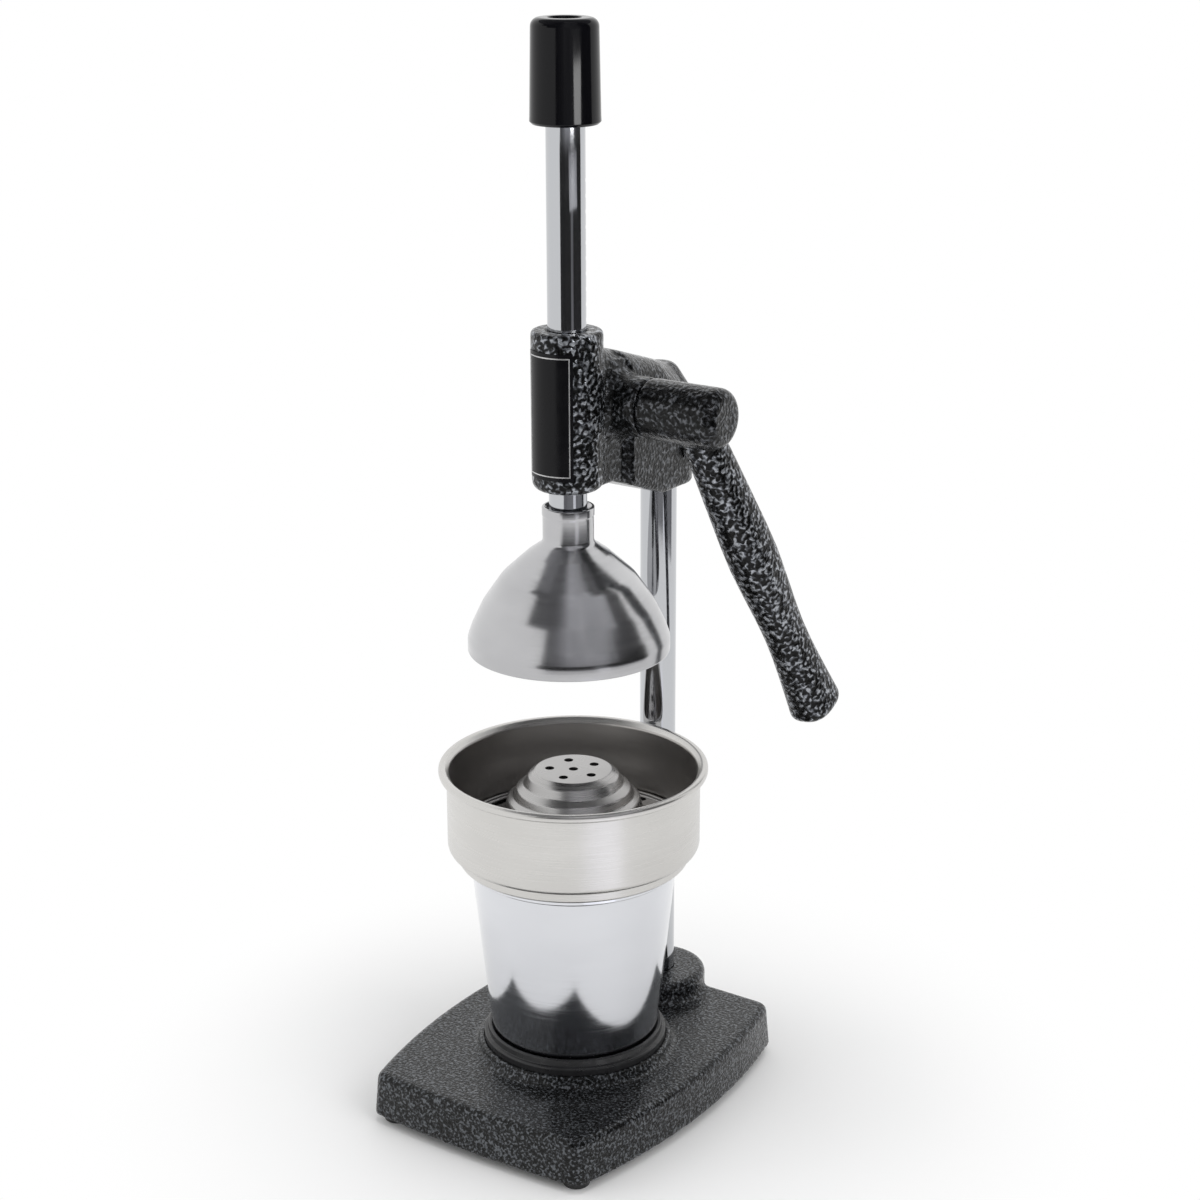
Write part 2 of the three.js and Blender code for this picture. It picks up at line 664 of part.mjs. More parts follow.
function headCasting() {
  const frontBoss = turned(outline([
    [0, frontBossBottom], [frontBossRadius, frontBossBottom, frontBossBottomEdge],
    [frontBossRadius, frontBossTop, frontBossTopEdge], [0, frontBossTop],
  ], false), castSides);
  const web = loft([0, webBack, blockStart + blockLead].map(
    (y) => headSection(y, webHalfWidth, headShoulder)));
  const block = loft([
    headSection(blockStart - blockLead / 2, webHalfWidth - seatGap, headShoulder),
    headSection(blockStart, (webHalfWidth + blockHalfWidth) / 2, headShoulder),
    headSection(blockStart + blockLead, blockHalfWidth, headShoulder),
    headSection(blockFlatStart, blockHalfWidth, headShoulder),
    headSection(columnBack, blockHalfWidth, rearShoulder),
  ]);
  const [rearCutIn, rearDepth] = rearShoulder;
  const rearEnd = turned(outline([
    [0, blockBottom], [blockHalfWidth, blockBottom, headLowerEdge],
    [blockHalfWidth, headBlockTop - rearDepth, headShoulderRound],
    [blockHalfWidth - rearCutIn, headBlockTop, headShoulderRound], [0, headBlockTop],
  ], false), castSides, 0, columnBack);
  const filletSteps = 3;
  const fillet = Array.from({ length: filletSteps + 1 }, (_, i) => {
    const turn = i / filletSteps * Math.PI / 2;
    return [barrelRadius + barrelFillet * (1 - Math.sin(turn)),
      webHalfWidth + barrelFillet * (1 - Math.cos(turn))];
  });
  const barrel = turnedAlongX(outline([
    [0, 0], [barrelRadius + barrelFillet, 0], ...fillet,
    [barrelRadius, barrelEnd, barrelEdge], [0, barrelEnd],
  ], false), castSides, pinionBack, pinionHeight);
  const drum = drumPlate(drumRadius, coverLugRadius, -blockHalfWidth, 0);

  const body = join(frontBoss, web, block, rearEnd, barrel, drum);
  const rodBore = bar(rodRadius + seatGap, frontBossBottom - overrun, frontBossTop + overrun, barSides);
  const rodLead = turned(outline([
    [0, frontBossTop - boreEdge], [rodRadius + seatGap, frontBossTop - boreEdge],
    [rodRadius + seatGap + boreEdge + overrun, frontBossTop + overrun], [0, frontBossTop + overrun],
  ], false), barSides);
  const pocket = barAlongX(
    pocketRadius, -blockHalfWidth - overrun, pinionHalfWidth + pocketSide,
    castSides, pinionBack, pinionHeight);
  const bushHole = barAlongX(bushRadius, 0, barrelEnd + overrun, barSides, pinionBack, pinionHeight);
  const columnHole = bar(columnRadius + seatGap, blockBottom - overrun, columnTop, barSides, 0, columnBack);
  const clampHole = barAlongX(
    clampScrewRadius + seatGap, 0, blockHalfWidth + overrun, screwSides, columnBack, clampHeight);
  const screwHoles = lugCentres().map((lug) => barAlongX(
    coverScrewRadius + seatGap, -blockHalfWidth - overrun, -blockHalfWidth + coverScrewReach,
    screwSides, lug.x, lug.y));
  return cut(body, rodBore, rodLead, pocket, bushHole, columnHole, clampHole, ...screwHoles);
}

// Pan-head screw along +X: the head's flat underside at x = seat, the shank reaching inwards to x = tip.
function panScrew(headRadius, headHeight, shankRadius, seat, tip, y, z) {
  const out = Math.sign(seat - tip);
  const profile = outline([
    [0, tip], [shankRadius, tip], [shankRadius, seat], [headRadius, seat],
    [headRadius, seat + out * headHeight, headHeight / 2], [0, seat + out * headHeight],
  ], false);
  return turnedAlongX(out > 0 ? profile : profile.reverse(), screwSides, y, z);
}

function clampScrew() {
  return panScrew(clampScrewHeadRadius, clampScrewHeadHeight, clampScrewRadius,
    blockHalfWidth + seatGap, columnRadius + seatGap, columnBack, clampHeight);
}

// Cover that closes the pinion's pocket, with a spigot inside it and a short bearing boss outside.
function pinionCover() {
  const inner = -blockHalfWidth - seatGap;
  const outer = inner - coverThickness;
  const plate = drumPlate(drumRadius, coverLugRadius, outer, inner);
  const boss = turnedAlongX(outline([
    [0, outer - coverBossLength], [coverBossRadius, outer - coverBossLength, coverEdge],
    [coverBossRadius, inner], [0, inner],
  ], false), barSides, pinionBack, pinionHeight);
  const spigot = barAlongX(
    pocketRadius - seatGap, inner - coverEdge, -pinionHalfWidth - pocketSide,
    castSides, pinionBack, pinionHeight);
  const bushHole = barAlongX(
    bushRadius, outer - coverBossLength - overrun, 0, barSides, pinionBack, pinionHeight);
  const rodRoom = bar(rodRadius + seatGap, frontBossBottom, frontBossTop, barSides);
  const screwHoles = lugCentres().map((lug) => (
    barAlongX(coverScrewRadius + seatGap, outer - overrun, inner + overrun, screwSides, lug.x, lug.y)));
  return cut(join(plate, boss, spigot), bushHole, rodRoom, ...screwHoles);
}

function coverScrew(lug) {
  const seat = -blockHalfWidth - coverThickness - 2 * seatGap;
  return panScrew(coverScrewHeadRadius, coverScrewHeadHeight, coverScrewRadius,
    seat, -blockHalfWidth + coverScrewReach - seatGap, lug.x, lug.y);
}

function bush(from, to) {
  return tubeAlongX(
    bushRadius - seatGap, shaftRadius + seatGap, from, to, barSides, pinionBack, pinionHeight);
}

// Shaft key at the pinion, half in the shaft and half in the pinion's bore.
function keyBlock(room) {
  const bottom = pinionHeight + shaftRadius - keyHeight / 2 - room;
  return prismAlongX(outline([
    [pinionBack - keyWidth / 2 - room, bottom], [pinionBack + keyWidth / 2 + room, bottom],
    [pinionBack + keyWidth / 2 + room, bottom + keyHeight + 2 * room],
    [pinionBack - keyWidth / 2 - room, bottom + keyHeight + 2 * room],
  ]), -keyLength / 2 - room, keyLength / 2 + room);
}

function grubPlace(distance) {
  return new THREE.Vector3(
    grubOut, pinionBack + distance * Math.cos(grubTilt), pinionHeight + distance * Math.sin(grubTilt));
}

// Bar from one distance to another along the grub screw's line, which is square to the hub.
function grubBar(radius, from, to) {
  const geometry = new THREE.CylinderGeometry(radius, radius, to - from, screwSides);
  geometry.rotateX(grubTilt);
  geometry.translate(...grubPlace((from + to) / 2));
  return toSolid(geometry);
}

function pinionShaft() {
  const stock = turnedAlongX(outline([
    [0, -shaftLeft], [shaftRadius, -shaftLeft, coverEdge],
    [shaftRadius, leverBoreEnd - seatGap, coverEdge], [0, leverBoreEnd - seatGap],
  ], false), barSides, pinionBack, pinionHeight);
  const dimple = grubBar(grubScrewRadius + seatGap, shaftRadius - coverEdge, shaftRadius + overrun);
  return cut(stock, keyBlock(seatGap), dimple);
}

// Fifteen involute teeth. One tooth points at the rack, straight to the front.
function pinionOutline() {
  const baseRadius = pinionPitchRadius * Math.cos(toothAngle);
  const tipRadius = pinionPitchRadius + toothAddendum;
  const rootRadius = pinionPitchRadius - toothDedendum;
  const involute = (angle) => Math.tan(angle) - angle;
  const halfTooth = (toothPitch - toothBacklash) / 4 / pinionPitchRadius;
  const flankSteps = 2;
  const flank = [[rootRadius, halfTooth + involute(toothAngle)]];
  for (let i = 0; i <= flankSteps; i++) {
    const radius = baseRadius + (tipRadius - baseRadius) * i / flankSteps;
    const pressure = Math.acos(Math.min(baseRadius / radius, 1));
    flank.push([radius, halfTooth + involute(toothAngle) - involute(pressure)]);
  }
  const points = [];
  for (let tooth = 0; tooth < pinionTeeth; tooth++) {
    const middle = Math.PI + tooth * 2 * Math.PI / pinionTeeth;
    const place = (radius, angle) => new THREE.Vector2(
      pinionBack + radius * Math.cos(middle + angle), pinionHeight + radius * Math.sin(middle + angle));
    flank.forEach(([radius, angle]) => points.push(place(radius, -angle)));
    [...flank].reverse().forEach(([radius, angle]) => points.push(place(radius, angle)));
  }
  return points;
}

function drivePinion() {
  const blank = prismAlongX(pinionOutline(), -pinionHalfWidth, pinionHalfWidth);
  const bore = barAlongX(
    shaftRadius + seatGap, -pinionHalfWidth - overrun, pinionHalfWidth + overrun,
    barSides, pinionBack, pinionHeight);
  return cut(blank, bore, keyBlock(seatGap));
}

// Lever: a hub on the shaft's end and an arm that leans out past the bowl and back from straight down.
function leverArm() {
  const hubStart = barrelEnd + seatGap;
  const hub = turnedAlongX(outline([
    [0, hubStart], [barrelRadius, hubStart, barrelEdge],
    [barrelRadius, leverHubEnd, leverHubEdge], [0, leverHubEnd],
  ], false), castSides, pinionBack, pinionHeight);
  const root = new THREE.Vector3(leverRootOut, pinionBack, pinionHeight);
  const tip = new THREE.Vector3(leverEndOut,
    pinionBack + leverLength * Math.sin(leverTilt), pinionHeight - leverLength * Math.cos(leverTilt));
  const along = tip.clone().sub(root).normalize();
  const across = new THREE.Vector3(1, 0, 0).cross(along).normalize();
  const outward = along.clone().cross(across);
  const power = (value) => Math.sign(value) * Math.abs(value) ** (2 / leverSquareness);
  const ring = (centre, width) => Array.from({ length: leverSides }, (_, i) => {
    const turn = 2 * Math.PI * i / leverSides;
    return centre.clone()
      .addScaledVector(across, width / 2 * power(Math.cos(turn)))
      .addScaledVector(outward, -width * leverDepthShare / 2 * power(Math.sin(turn)));
  });
  const rings = leverPlaceShares.map((share, i) => (
    ring(root.clone().lerp(tip, share), leverWidth * leverWidthShares[i])));
  const endWidth = leverWidth * leverWidthShares.at(-1);
  for (let i = 1; i <= leverEndRings; i++) {
    const turn = i / leverEndRings * leverRoundTurn;
    const centre = tip.clone().addScaledVector(along, endWidth * leverRoundShare * Math.sin(turn));
    rings.push(ring(centre, endWidth * power(Math.cos(turn))));
  }
  const arm = loft(rings.map((points) => points.reverse()));
  const bore = barAlongX(
    shaftRadius + seatGap, hubStart - overrun, leverBoreEnd, barSides, pinionBack, pinionHeight);
  const grubHole = grubBar(grubScrewRadius + seatGap, 0, barrelRadius + overrun);
  return cut(join(hub, arm), bore, grubHole);
}

function leverGrubScrew() {
  const start = shaftRadius - coverEdge + seatGap;
  const stock = grubBar(grubScrewRadius, start, start + grubScrewLength);
  const socket = grubBar(grubScrewRadius / 2, start + grubScrewLength / 2, start + grubScrewLength + overrun);
  return stock.subtract(socket);
}

// Rod with a rack milled into its back: a flat at the tooth tips and a row of straight-sided spaces.
function plungerRod() {
  const rackSide = rodRadius + overrun;
  const tipDepth = rackPitchDepth + toothAddendum;
  const rootDepth = rackPitchDepth - toothDedendum;
  const spaceHalf = (depth) => (
    (toothPitch + toothBacklash) / 4 + (depth - rackPitchDepth) * Math.tan(toothAngle));
  const rackBottom = pinionHeight - (rackSpacesBelow + 1 / 2) * toothPitch;
  const rackTop = pinionHeight + (rackSpacesAbove + 1 / 2) * toothPitch;
  const flat = prismAlongX([
    new THREE.Vector2(tipDepth, rackBottom), new THREE.Vector2(rackSide, rackBottom - rackSide + tipDepth),
    new THREE.Vector2(rackSide, rackTop + rackSide - tipDepth), new THREE.Vector2(tipDepth, rackTop),
  ], -rackSide, rackSide);
  const spaces = [];
  for (let i = -rackSpacesBelow; i <= rackSpacesAbove; i++) {
    const z = pinionHeight + i * toothPitch;
    spaces.push(prismAlongX([
      new THREE.Vector2(rootDepth, z - spaceHalf(rootDepth)),
      new THREE.Vector2(rackSide, z - spaceHalf(rackSide)),
      new THREE.Vector2(rackSide, z + spaceHalf(rackSide)),
      new THREE.Vector2(rootDepth, z + spaceHalf(rootDepth)),
    ], -rackSide, rackSide));
  }
  const stock = bar(rodRadius, rodBottom, rodTop, barSides);
  const lowerThread = bar(
    bellScrewRadius + seatGap, rodBottom - overrun, rodBottom + rodScrewDepth, screwSides);
  const upperThread = bar(
    capScrewRadius + seatGap, rodTop - capScrewReach - seatGap, rodTop + overrun, screwSides);
  return cut(stock, flat, ...spaces, lowerThread, upperThread);
}

function gripCap() {
  const body = turned(outline([
    [0, capBottom], [capLowerRadius, capBottom, capLowerEdge],
    [capUpperRadius, capTop, capTopEdge], [0, capTop],
  ], false), barSides);
  const socket = bar(rodRadius + seatGap, capBottom - overrun, rodTop + seatGap, barSides);
  const recess = bar(capRecessRadius, capTop - capRecessDepth, capTop + overrun, barSides);
  const screwHole = bar(capScrewRadius + seatGap, rodTop, capTop, screwSides);
  return cut(body, socket, recess, screwHole);
}

function capScrew() {
  const seat = capTop - capRecessDepth + seatGap;
  return turned(outline([
    [0, rodTop - capScrewReach], [capScrewRadius, rodTop - capScrewReach], [capScrewRadius, seat],
    [capScrewHeadRadius, seat], [capScrewHeadRadius, seat + capScrewHeadHeight, capScrewHeadHeight / 2],
    [0, seat + capScrewHeadHeight],
  ], false), screwSides);
}

// Bell: a domed shell hung from a neck that is bored for the rod.
function pressBell() {
  const curve = new THREE.SplineCurve(bellRadiusShares.map((share, i) => new THREE.Vector2(
    share * bellRimRadius, bellRim + bellHeightShares[i] * bellDomeHeight)));
  const dome = curve.getPoints(bellSteps);
  const hollowTop = rodBottom - seatGap - bellCrown;
  const holeRadius = bellScrewRadius + seatGap;
  const inner = offset(curve.getPoints(bellInnerSteps), bellWall)
    .filter((p) => p.y < hollowTop - bellWall / 2 && p.y > bellRim);
  const neck = outline([
    [dome.at(-1).x, dome.at(-1).y], [bellNeckRadius, bellNeckTop, bellNeckEdge],
    [rodRadius + seatGap + bellNeckSink, bellNeckTop], [rodRadius + seatGap, bellNeckTop - bellNeckSink],
    [rodRadius + seatGap, rodBottom - seatGap], [holeRadius, rodBottom - seatGap], [holeRadius, hollowTop],
  ], false);
  return turned([
    ...dome.slice(0, -1), ...neck, new THREE.Vector2(inner.at(-1).x - bellWall, hollowTop),
    ...inner.reverse(), new THREE.Vector2(bellRimRadius - bellWall, bellRim),
  ], wideSides);
}

function bellWasher() {
  const from = rodBottom - 2 * seatGap - bellCrown - bellWasherThickness;
  return washer(bellWasherRadius, bellScrewRadius + seatGap, from, bellWasherThickness, 0, 0);
}

function bellScrew() {
  const headTop = rodBottom - 3 * seatGap - bellCrown - bellWasherThickness;
  return hexBolt(bellScrewHeadRadius, bellScrewHeadHeight, bellScrewRadius,
    headTop, rodBottom + rodScrewDepth - seatGap, 0, 0);
}

function cupInnerRadius(z) {
  const share = (z - cupFloor) / cupHeight;
  return cupBottomRadius + (cupMouthRadius - cupBottomRadius) * share - cupWall;
}

function juiceCup() {
  const beadBottom = cupTop - cupBeadHeight;
  const beadRadius = cupMouthRadius + cupBeadOut;
  return turned(outline([
    [0, cupFloor], [cupBottomRadius, cupFloor, cupFoot], [cupInnerRadius(beadBottom) + cupWall, beadBottom],
    [beadRadius, beadBottom, cupBeadEdge], [beadRadius, cupTop, cupBeadEdge],
    [cupMouthRadius - cupWall, cupTop, cupWall / 2],
    [cupInnerRadius(cupFloor + cupWall), cupFloor + cupWall, cupFoot - cupWall], [0, cupFloor + cupWall],
  ], false), wideSides, 0, cupBack);
}

function strainerBowl() {
  const collarBottom = bowlBase - bowlCollarDepth;
  const collarRadius = cupInnerRadius(collarBottom) - seatGap;
  const bandTop = bowlBase + bowlBandHeight;
  const rim = bowlBase + bowlHeight;
  const rimRadius = bowlRadius + bowlRimOut;
  const floor = bowlBase + bowlUnderside;
  const inner = bowlRadius - bowlWall;
  const bandInner = bowlBandRadius - bowlWall;
  return turned(outline([
    [collarRadius - bowlCollarWall, collarBottom], [collarRadius, collarBottom, bowlCollarWall / 2],
    [collarRadius, bowlBase], [bowlBandRadius, bowlBase, bowlWall], [bowlBandRadius, bandTop],
    [bowlRadius, bandTop + bowlStepRise, bowlRounding], [bowlRadius, rim - bowlRimHeight],
    [rimRadius, rim - bowlRimHeight, bowlRimEdge], [rimRadius, rim, bowlRimEdge], [inner, rim, bowlRimEdge],
    [inner, bandTop + bowlStepRise + bowlWall, bowlRounding - bowlWall], [bandInner, bandTop + bowlWall],
    [bandInner, floor, bowlWall], [collarRadius - bowlCollarWall, floor],
  ]), wideSides, 0, cupBack);
}

// Slot with narrowed ends on a circle about the cup's axis, cut upright through the flange.
function ringSlot(circle, turn, from, to) {
  const half = slotWidth / 2;
  const reach = slotLength / 2;
  const points = outline([
    [circle, -reach], [circle + half, half - reach], [circle + half, reach - half],
    [circle, reach], [circle - half, reach - half], [circle - half, half - reach],
  ]).map((p) => p.rotateAround(new THREE.Vector2(), turn).add(new THREE.Vector2(0, cupBack)));
  return prism(points, from, to);
}

function reamerCone() {
  const corners = reamerRadiusShares.map((share, i) => [
    share * reamerTopRadius, reamerBase + reamerHeightShares[i] * reamerHeight,
    reamerFilletShares[i] * reamerTopRadius,
  ]);
  const outer = outline([
    [0, reamerBase + reamerHeight], ...corners,
    [corners.at(-1)[0], reamerBase + reamerWall, 0],
  ], false).slice(0, -1);
  const ridges = corners.filter((_, i) => i % 2 === 0 || i === corners.length - 1);
  const plain = [[0, reamerBase + reamerHeight], ...ridges].map(([x, y]) => new THREE.Vector2(x, y));
  const inner = offset(plain, -reamerWall)
    .map((p) => new THREE.Vector2(Math.max(p.x, 0), Math.max(p.y, reamerBase)));
  const flangeTop = reamerBase + reamerWall;
  const shell = turned([
    ...inner, ...[
      new THREE.Vector2(reamerFlangeRadius - reamerFlangeLip, reamerBase),
      new THREE.Vector2(reamerFlangeRadius - reamerFlangeLip, reamerBase - reamerRimDrop),
      new THREE.Vector2(reamerFlangeRadius - reamerFlangeLip / 2, reamerBase - reamerRimDrop),
      new THREE.Vector2(reamerFlangeRadius, reamerBase - reamerRimDrop + reamerFlangeLip / 2),
      new THREE.Vector2(reamerFlangeRadius, flangeTop + reamerFlangeLip),
      new THREE.Vector2(reamerFlangeRadius - reamerFlangeLip, flangeTop + reamerFlangeLip),
      new THREE.Vector2(reamerFlangeRadius - reamerFlangeLip, flangeTop),
    ],
    ...outer.reverse(),
  ], wideSides, 0, cupBack);
  const top = reamerBase + reamerHeight + overrun;
  const holeFloor = top - reamerWall - 2 * overrun;
  const hole = (x, y) => bar(reamerHoleRadius, holeFloor, top, screwSides, x, cupBack + y);
  const holes = [hole(0, 0)];
  for (let i = 0; i < reamerHoleCount; i++) {
    const turn = reamerHoleTurn + 2 * Math.PI * i / reamerHoleCount;
    holes.push(hole(reamerHoleCircle * Math.cos(turn), reamerHoleCircle * Math.sin(turn)));
  }
  const slots = [];
  const rings = [[innerSlotCircle, innerSlotCount, 0], [outerSlotCircle, outerSlotCount, 1 / 2]];
  for (const [circle, count, phase] of rings) {
    for (let i = 0; i < count; i++) {
      const turn = 2 * Math.PI * (i + phase) / count;
      slots.push(ringSlot(circle, turn, reamerBase - overrun, flangeTop + overrun / 2));
    }
  }
  return cut(shell, ...holes, ...slots);
}

const press = new THREE.Group();
press.add(piece('base_casting', hammertone, baseCasting()));
footPlaces().forEach(([place, x, y]) => (
  press.add(piece(`rubber_foot_${place}`, blackRubber, rubberFoot(x, y)))));
press.add(piece('cup_seat', blackRubber, cupSeat()));
press.add(piece('column', chrome, column()));
press.add(piece('column_bolt', steel, columnBolt()));
press.add(piece('column_washer', steel, columnWasher()));
press.add(piece('head_casting', hammertone, headCasting()));
press.add(piece('clamp_screw', steel, clampScrew()));
press.add(piece('pinion_cover', hammertone, pinionCover()));
lugCentres().forEach((lug, i) => press.add(piece(`cover_screw_${i + 1}`, steel, coverScrew(lug))));
press.add(piece('left_bush', bronze, bush(
  -blockHalfWidth - coverThickness - coverBossLength, -pinionHalfWidth - pocketSide)));
press.add(piece('right_bush', bronze, bush(pinionHalfWidth + pocketSide, barrelEnd - seatGap)));
press.add(piece('pinion_shaft', steel, pinionShaft()));
press.add(piece('drive_pinion', steel, drivePinion()));
press.add(piece('shaft_key', steel, keyBlock(0)));
press.add(piece('lever_arm', hammertone, leverArm()));
press.add(piece('lever_grub_screw', steel, leverGrubScrew()));
press.add(piece('plunger_rod', chrome, plungerRod()));
press.add(piece('grip_cap', blackPlastic, gripCap()));
press.add(piece('cap_screw', steel, capScrew()));
press.add(piece('press_bell', castAluminium, pressBell()));
press.add(piece('bell_washer', steel, bellWasher()));
press.add(piece('bell_screw', steel, bellScrew()));
press.add(piece('juice_cup', stainless, juiceCup()));
press.add(piece('strainer_bowl', stainless, strainerBowl()));
press.add(piece('reamer_cone', castAluminium, reamerCone()));

// The finished press stands with the middle of its footprint on the origin.
const bounds = new THREE.Box3().setFromObject(press);
press.position.set(-(bounds.min.x + bounds.max.x) / 2, -(bounds.min.y + bounds.max.y) / 2, 0);
const assembly = new THREE.Group();
assembly.add(press);

export default assembly;
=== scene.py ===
# %% [markdown]
# # A lever citrus press
# The press stands on a cast base. A side lever turns a pinion, the pinion drives a rack on the plunger,
# and the plunger presses a bell onto a reamer that sits in a strainer bowl on top of a cup. The moving
# frame is loaded first, and each visible piece is then modelled over its place in that frame.

# %% Load the frame
import math

import bpy
from mathutils import Matrix, Vector


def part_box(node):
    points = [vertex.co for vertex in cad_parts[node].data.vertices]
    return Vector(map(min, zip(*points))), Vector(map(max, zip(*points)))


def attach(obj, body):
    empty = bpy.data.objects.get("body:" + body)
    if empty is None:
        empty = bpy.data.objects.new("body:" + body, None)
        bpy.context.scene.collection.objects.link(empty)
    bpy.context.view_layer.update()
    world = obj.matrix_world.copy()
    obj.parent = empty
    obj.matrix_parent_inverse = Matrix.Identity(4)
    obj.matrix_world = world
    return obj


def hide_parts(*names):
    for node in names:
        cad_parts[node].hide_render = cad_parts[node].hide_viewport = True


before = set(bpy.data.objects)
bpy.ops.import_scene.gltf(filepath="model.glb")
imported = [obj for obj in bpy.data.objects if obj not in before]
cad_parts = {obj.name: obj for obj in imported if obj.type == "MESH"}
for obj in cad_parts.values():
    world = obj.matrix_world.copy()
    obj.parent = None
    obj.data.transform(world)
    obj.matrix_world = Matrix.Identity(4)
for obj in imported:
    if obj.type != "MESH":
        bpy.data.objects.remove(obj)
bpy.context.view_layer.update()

# %% [markdown]
# Sizes on a drawing are easier to think about in millimetres, measured from the plunger's axis and from
# the floor. One small function turns such a place into the frame's metres, so no other line needs to
# know where the frame's origin is.

# %% Places in millimetres
MM = 0.001
cap_low, cap_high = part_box("grip_cap")
plunger_x = (cap_low.x + cap_high.x) / 2
plunger_y = (cap_low.y + cap_high.y) / 2


def at(x, y, z):
    """A place in millimetres from the plunger's axis and the floor, in the frame's metres."""
    return Vector((plunger_x + x * MM, plunger_y + y * MM, z * MM))


cup_back = 2.5            # the cup stands a little behind the plunger's axis
column_back = 69
pinion_back = 20.5
pinion_height = 313.4
bar_radius = 8            # both chrome bars
bore_radius = 8.3         # every bore that takes one of them
thread_radius = 4.3       # every bore for a large screw
print("plunger axis", plunger_x, plunger_y)

# %% [markdown]
# Real corners are never sharp. Each outline here is a list of corners, and this helper replaces those
# that have a fillet by a short arc. A Bevel modifier could do it too, but it gives one radius to a whole
# piece, and here each corner has its own.

# %% Lines with rounded corners
def rounded(corners, step=10):
    """Points of an open line through corners (u, v, fillet), with an arc of the fillet's radius at each."""
    points = []
    for i, (u, v, *fillet) in enumerate(corners):
        here = Vector((u, v))
        if not fillet or i in (0, len(corners) - 1):
            points.append(here)
            continue
        back = Vector(corners[i - 1][:2]) - here
        ahead = Vector(corners[i + 1][:2]) - here
        half = back.angle(ahead) / 2
        reach = min(fillet[0] / math.tan(half), back.length * 0.499, ahead.length * 0.499)
        back.normalize()
        ahead.normalize()
        centre = here + (back + ahead).normalized() * (reach / math.cos(half))
        start = here + back * reach - centre
        side = 1 if ahead.x * back.y - ahead.y * back.x > 0 else -1
        sweep = side * (math.pi - 2 * half)
        count = max(2, round(abs(sweep) / math.radians(step)))
        for k in range(count + 1):
            points.append(centre + Matrix.Rotation(sweep * k / count, 2) @ start)
    return points


print("a square corner becomes", len(rounded([(0, 0), (9, 0, 2), (9, 9)])) - 2, "points")

# %% [markdown]
# Most of this press is turned: a half section is drawn as a line and spun round an axis. The line is
# drawn the way it is done by hand, by extruding one vertex from corner to corner. A cylinder that is cut
# and scaled would do for the simplest of them, but a half section can be read and changed like a drawing.

# %% Spun shapes
def only(piece):
    """Selects this piece alone and makes it the active one."""
    bpy.ops.object.select_all(action="DESELECT")
    piece.select_set(True)
    bpy.context.view_layer.objects.active = piece


def spun(line, axis, centre, steps=96):
    """A line of places, drawn vertex by vertex and spun once round an axis."""
    bpy.ops.object.select_all(action="DESELECT")
    bpy.ops.mesh.primitive_plane_add(size=MM)
    piece = bpy.context.object
    bpy.ops.object.mode_set(mode="EDIT")
    bpy.ops.mesh.select_mode(type="VERT")
    bpy.ops.mesh.merge(type="CENTER")
    bpy.ops.transform.translate(value=line[0])
    for start, end in zip(line, line[1:]):
        bpy.ops.mesh.extrude_vertices_move(TRANSFORM_OT_translate={"value": end - start})
    bpy.ops.mesh.select_all(action="SELECT")
    bpy.ops.mesh.spin(steps=steps, angle=2 * math.pi, center=centre, axis=axis)
    bpy.ops.mesh.select_all(action="SELECT")
    bpy.ops.mesh.remove_doubles(threshold=2e-6)
    bpy.ops.mesh.normals_make_consistent(inside=False)
    bpy.ops.object.mode_set(mode="OBJECT")
    return piece


def turned(corners, x=0, y=0, steps=96):
    """A shape turned about an upright axis. Its corners are (radius, height, fillet) in millimetres."""
    line = [at(x + p.x, y, p.y) for p in rounded(corners)]
    return spun(line, (0, 0, 1), at(x, y, 0), steps)


def turned_sideways(corners, y=pinion_back, z=pinion_height, steps=64):
    """A shape turned about an axis along X. Its corners are (x, radius, fillet) in millimetres."""
    line = [at(p.x, y, z + p.y) for p in rounded(corners)]
    return spun(line, (1, 0, 0), at(0, y, z), steps)


# %% [markdown]
# The flat shapes are slabs: an outline is extruded once. Several shapes become one object by joining
# them, which leaves their faces as they are.

# %% Slabs
def slab(points, rise):
    """A flat outline of places, pulled along a direction into a solid."""
    bpy.ops.object.select_all(action="DESELECT")
    bpy.ops.mesh.primitive_circle_add(vertices=len(points), radius=MM, fill_type="NGON")
    piece = bpy.context.object
    for vertex, point in zip(piece.data.vertices, points):
        vertex.co = point
    bpy.ops.object.mode_set(mode="EDIT")
    bpy.ops.mesh.select_all(action="SELECT")
    bpy.ops.mesh.extrude_region_move(TRANSFORM_OT_translate={"value": rise})
    bpy.ops.mesh.select_all(action="SELECT")
    bpy.ops.mesh.normals_make_consistent(inside=False)
    bpy.ops.object.mode_set(mode="OBJECT")
    return piece


def joined(piece, *others):
    """Several pieces as one object, which keeps the first one's name."""
    only(piece)
    for other in others:
        other.select_set(True)
    bpy.ops.object.join()
    return piece


# %% [markdown]
# A cut is a Boolean modifier that is applied. Castings are different: the pattern maker rounds every
# inner corner. A bevel can't find the edges where two shapes only pass through each other, so the parts
# are joined, remeshed as one skin and smoothed a little, which gives those soft corners.

# %% Cuts and castings
def applied(piece, kind, **settings):
    """Adds one modifier with these settings and applies it."""
    only(piece)
    modifier = piece.modifiers.new(kind.title(), kind)
    for name, value in settings.items():
        setattr(modifier, name, value)
    bpy.ops.object.modifier_apply(modifier=modifier.name)
    return piece


def carved(piece, *cutters):
    """Cuts each cutter out of a piece and removes the cutter."""
    for cutter in cutters:
        applied(piece, "BOOLEAN", operation="DIFFERENCE", solver="EXACT", object=cutter)
        bpy.data.objects.remove(cutter)
    return piece


def cast(piece, *others, voxel=0.8, rounds=6):
    """One skin over several overlapping shapes, with soft inner corners."""
    joined(piece, *others)
    applied(piece, "REMESH", mode="VOXEL", voxel_size=voxel * MM)
    return applied(piece, "SMOOTH", factor=0.5, iterations=rounds)


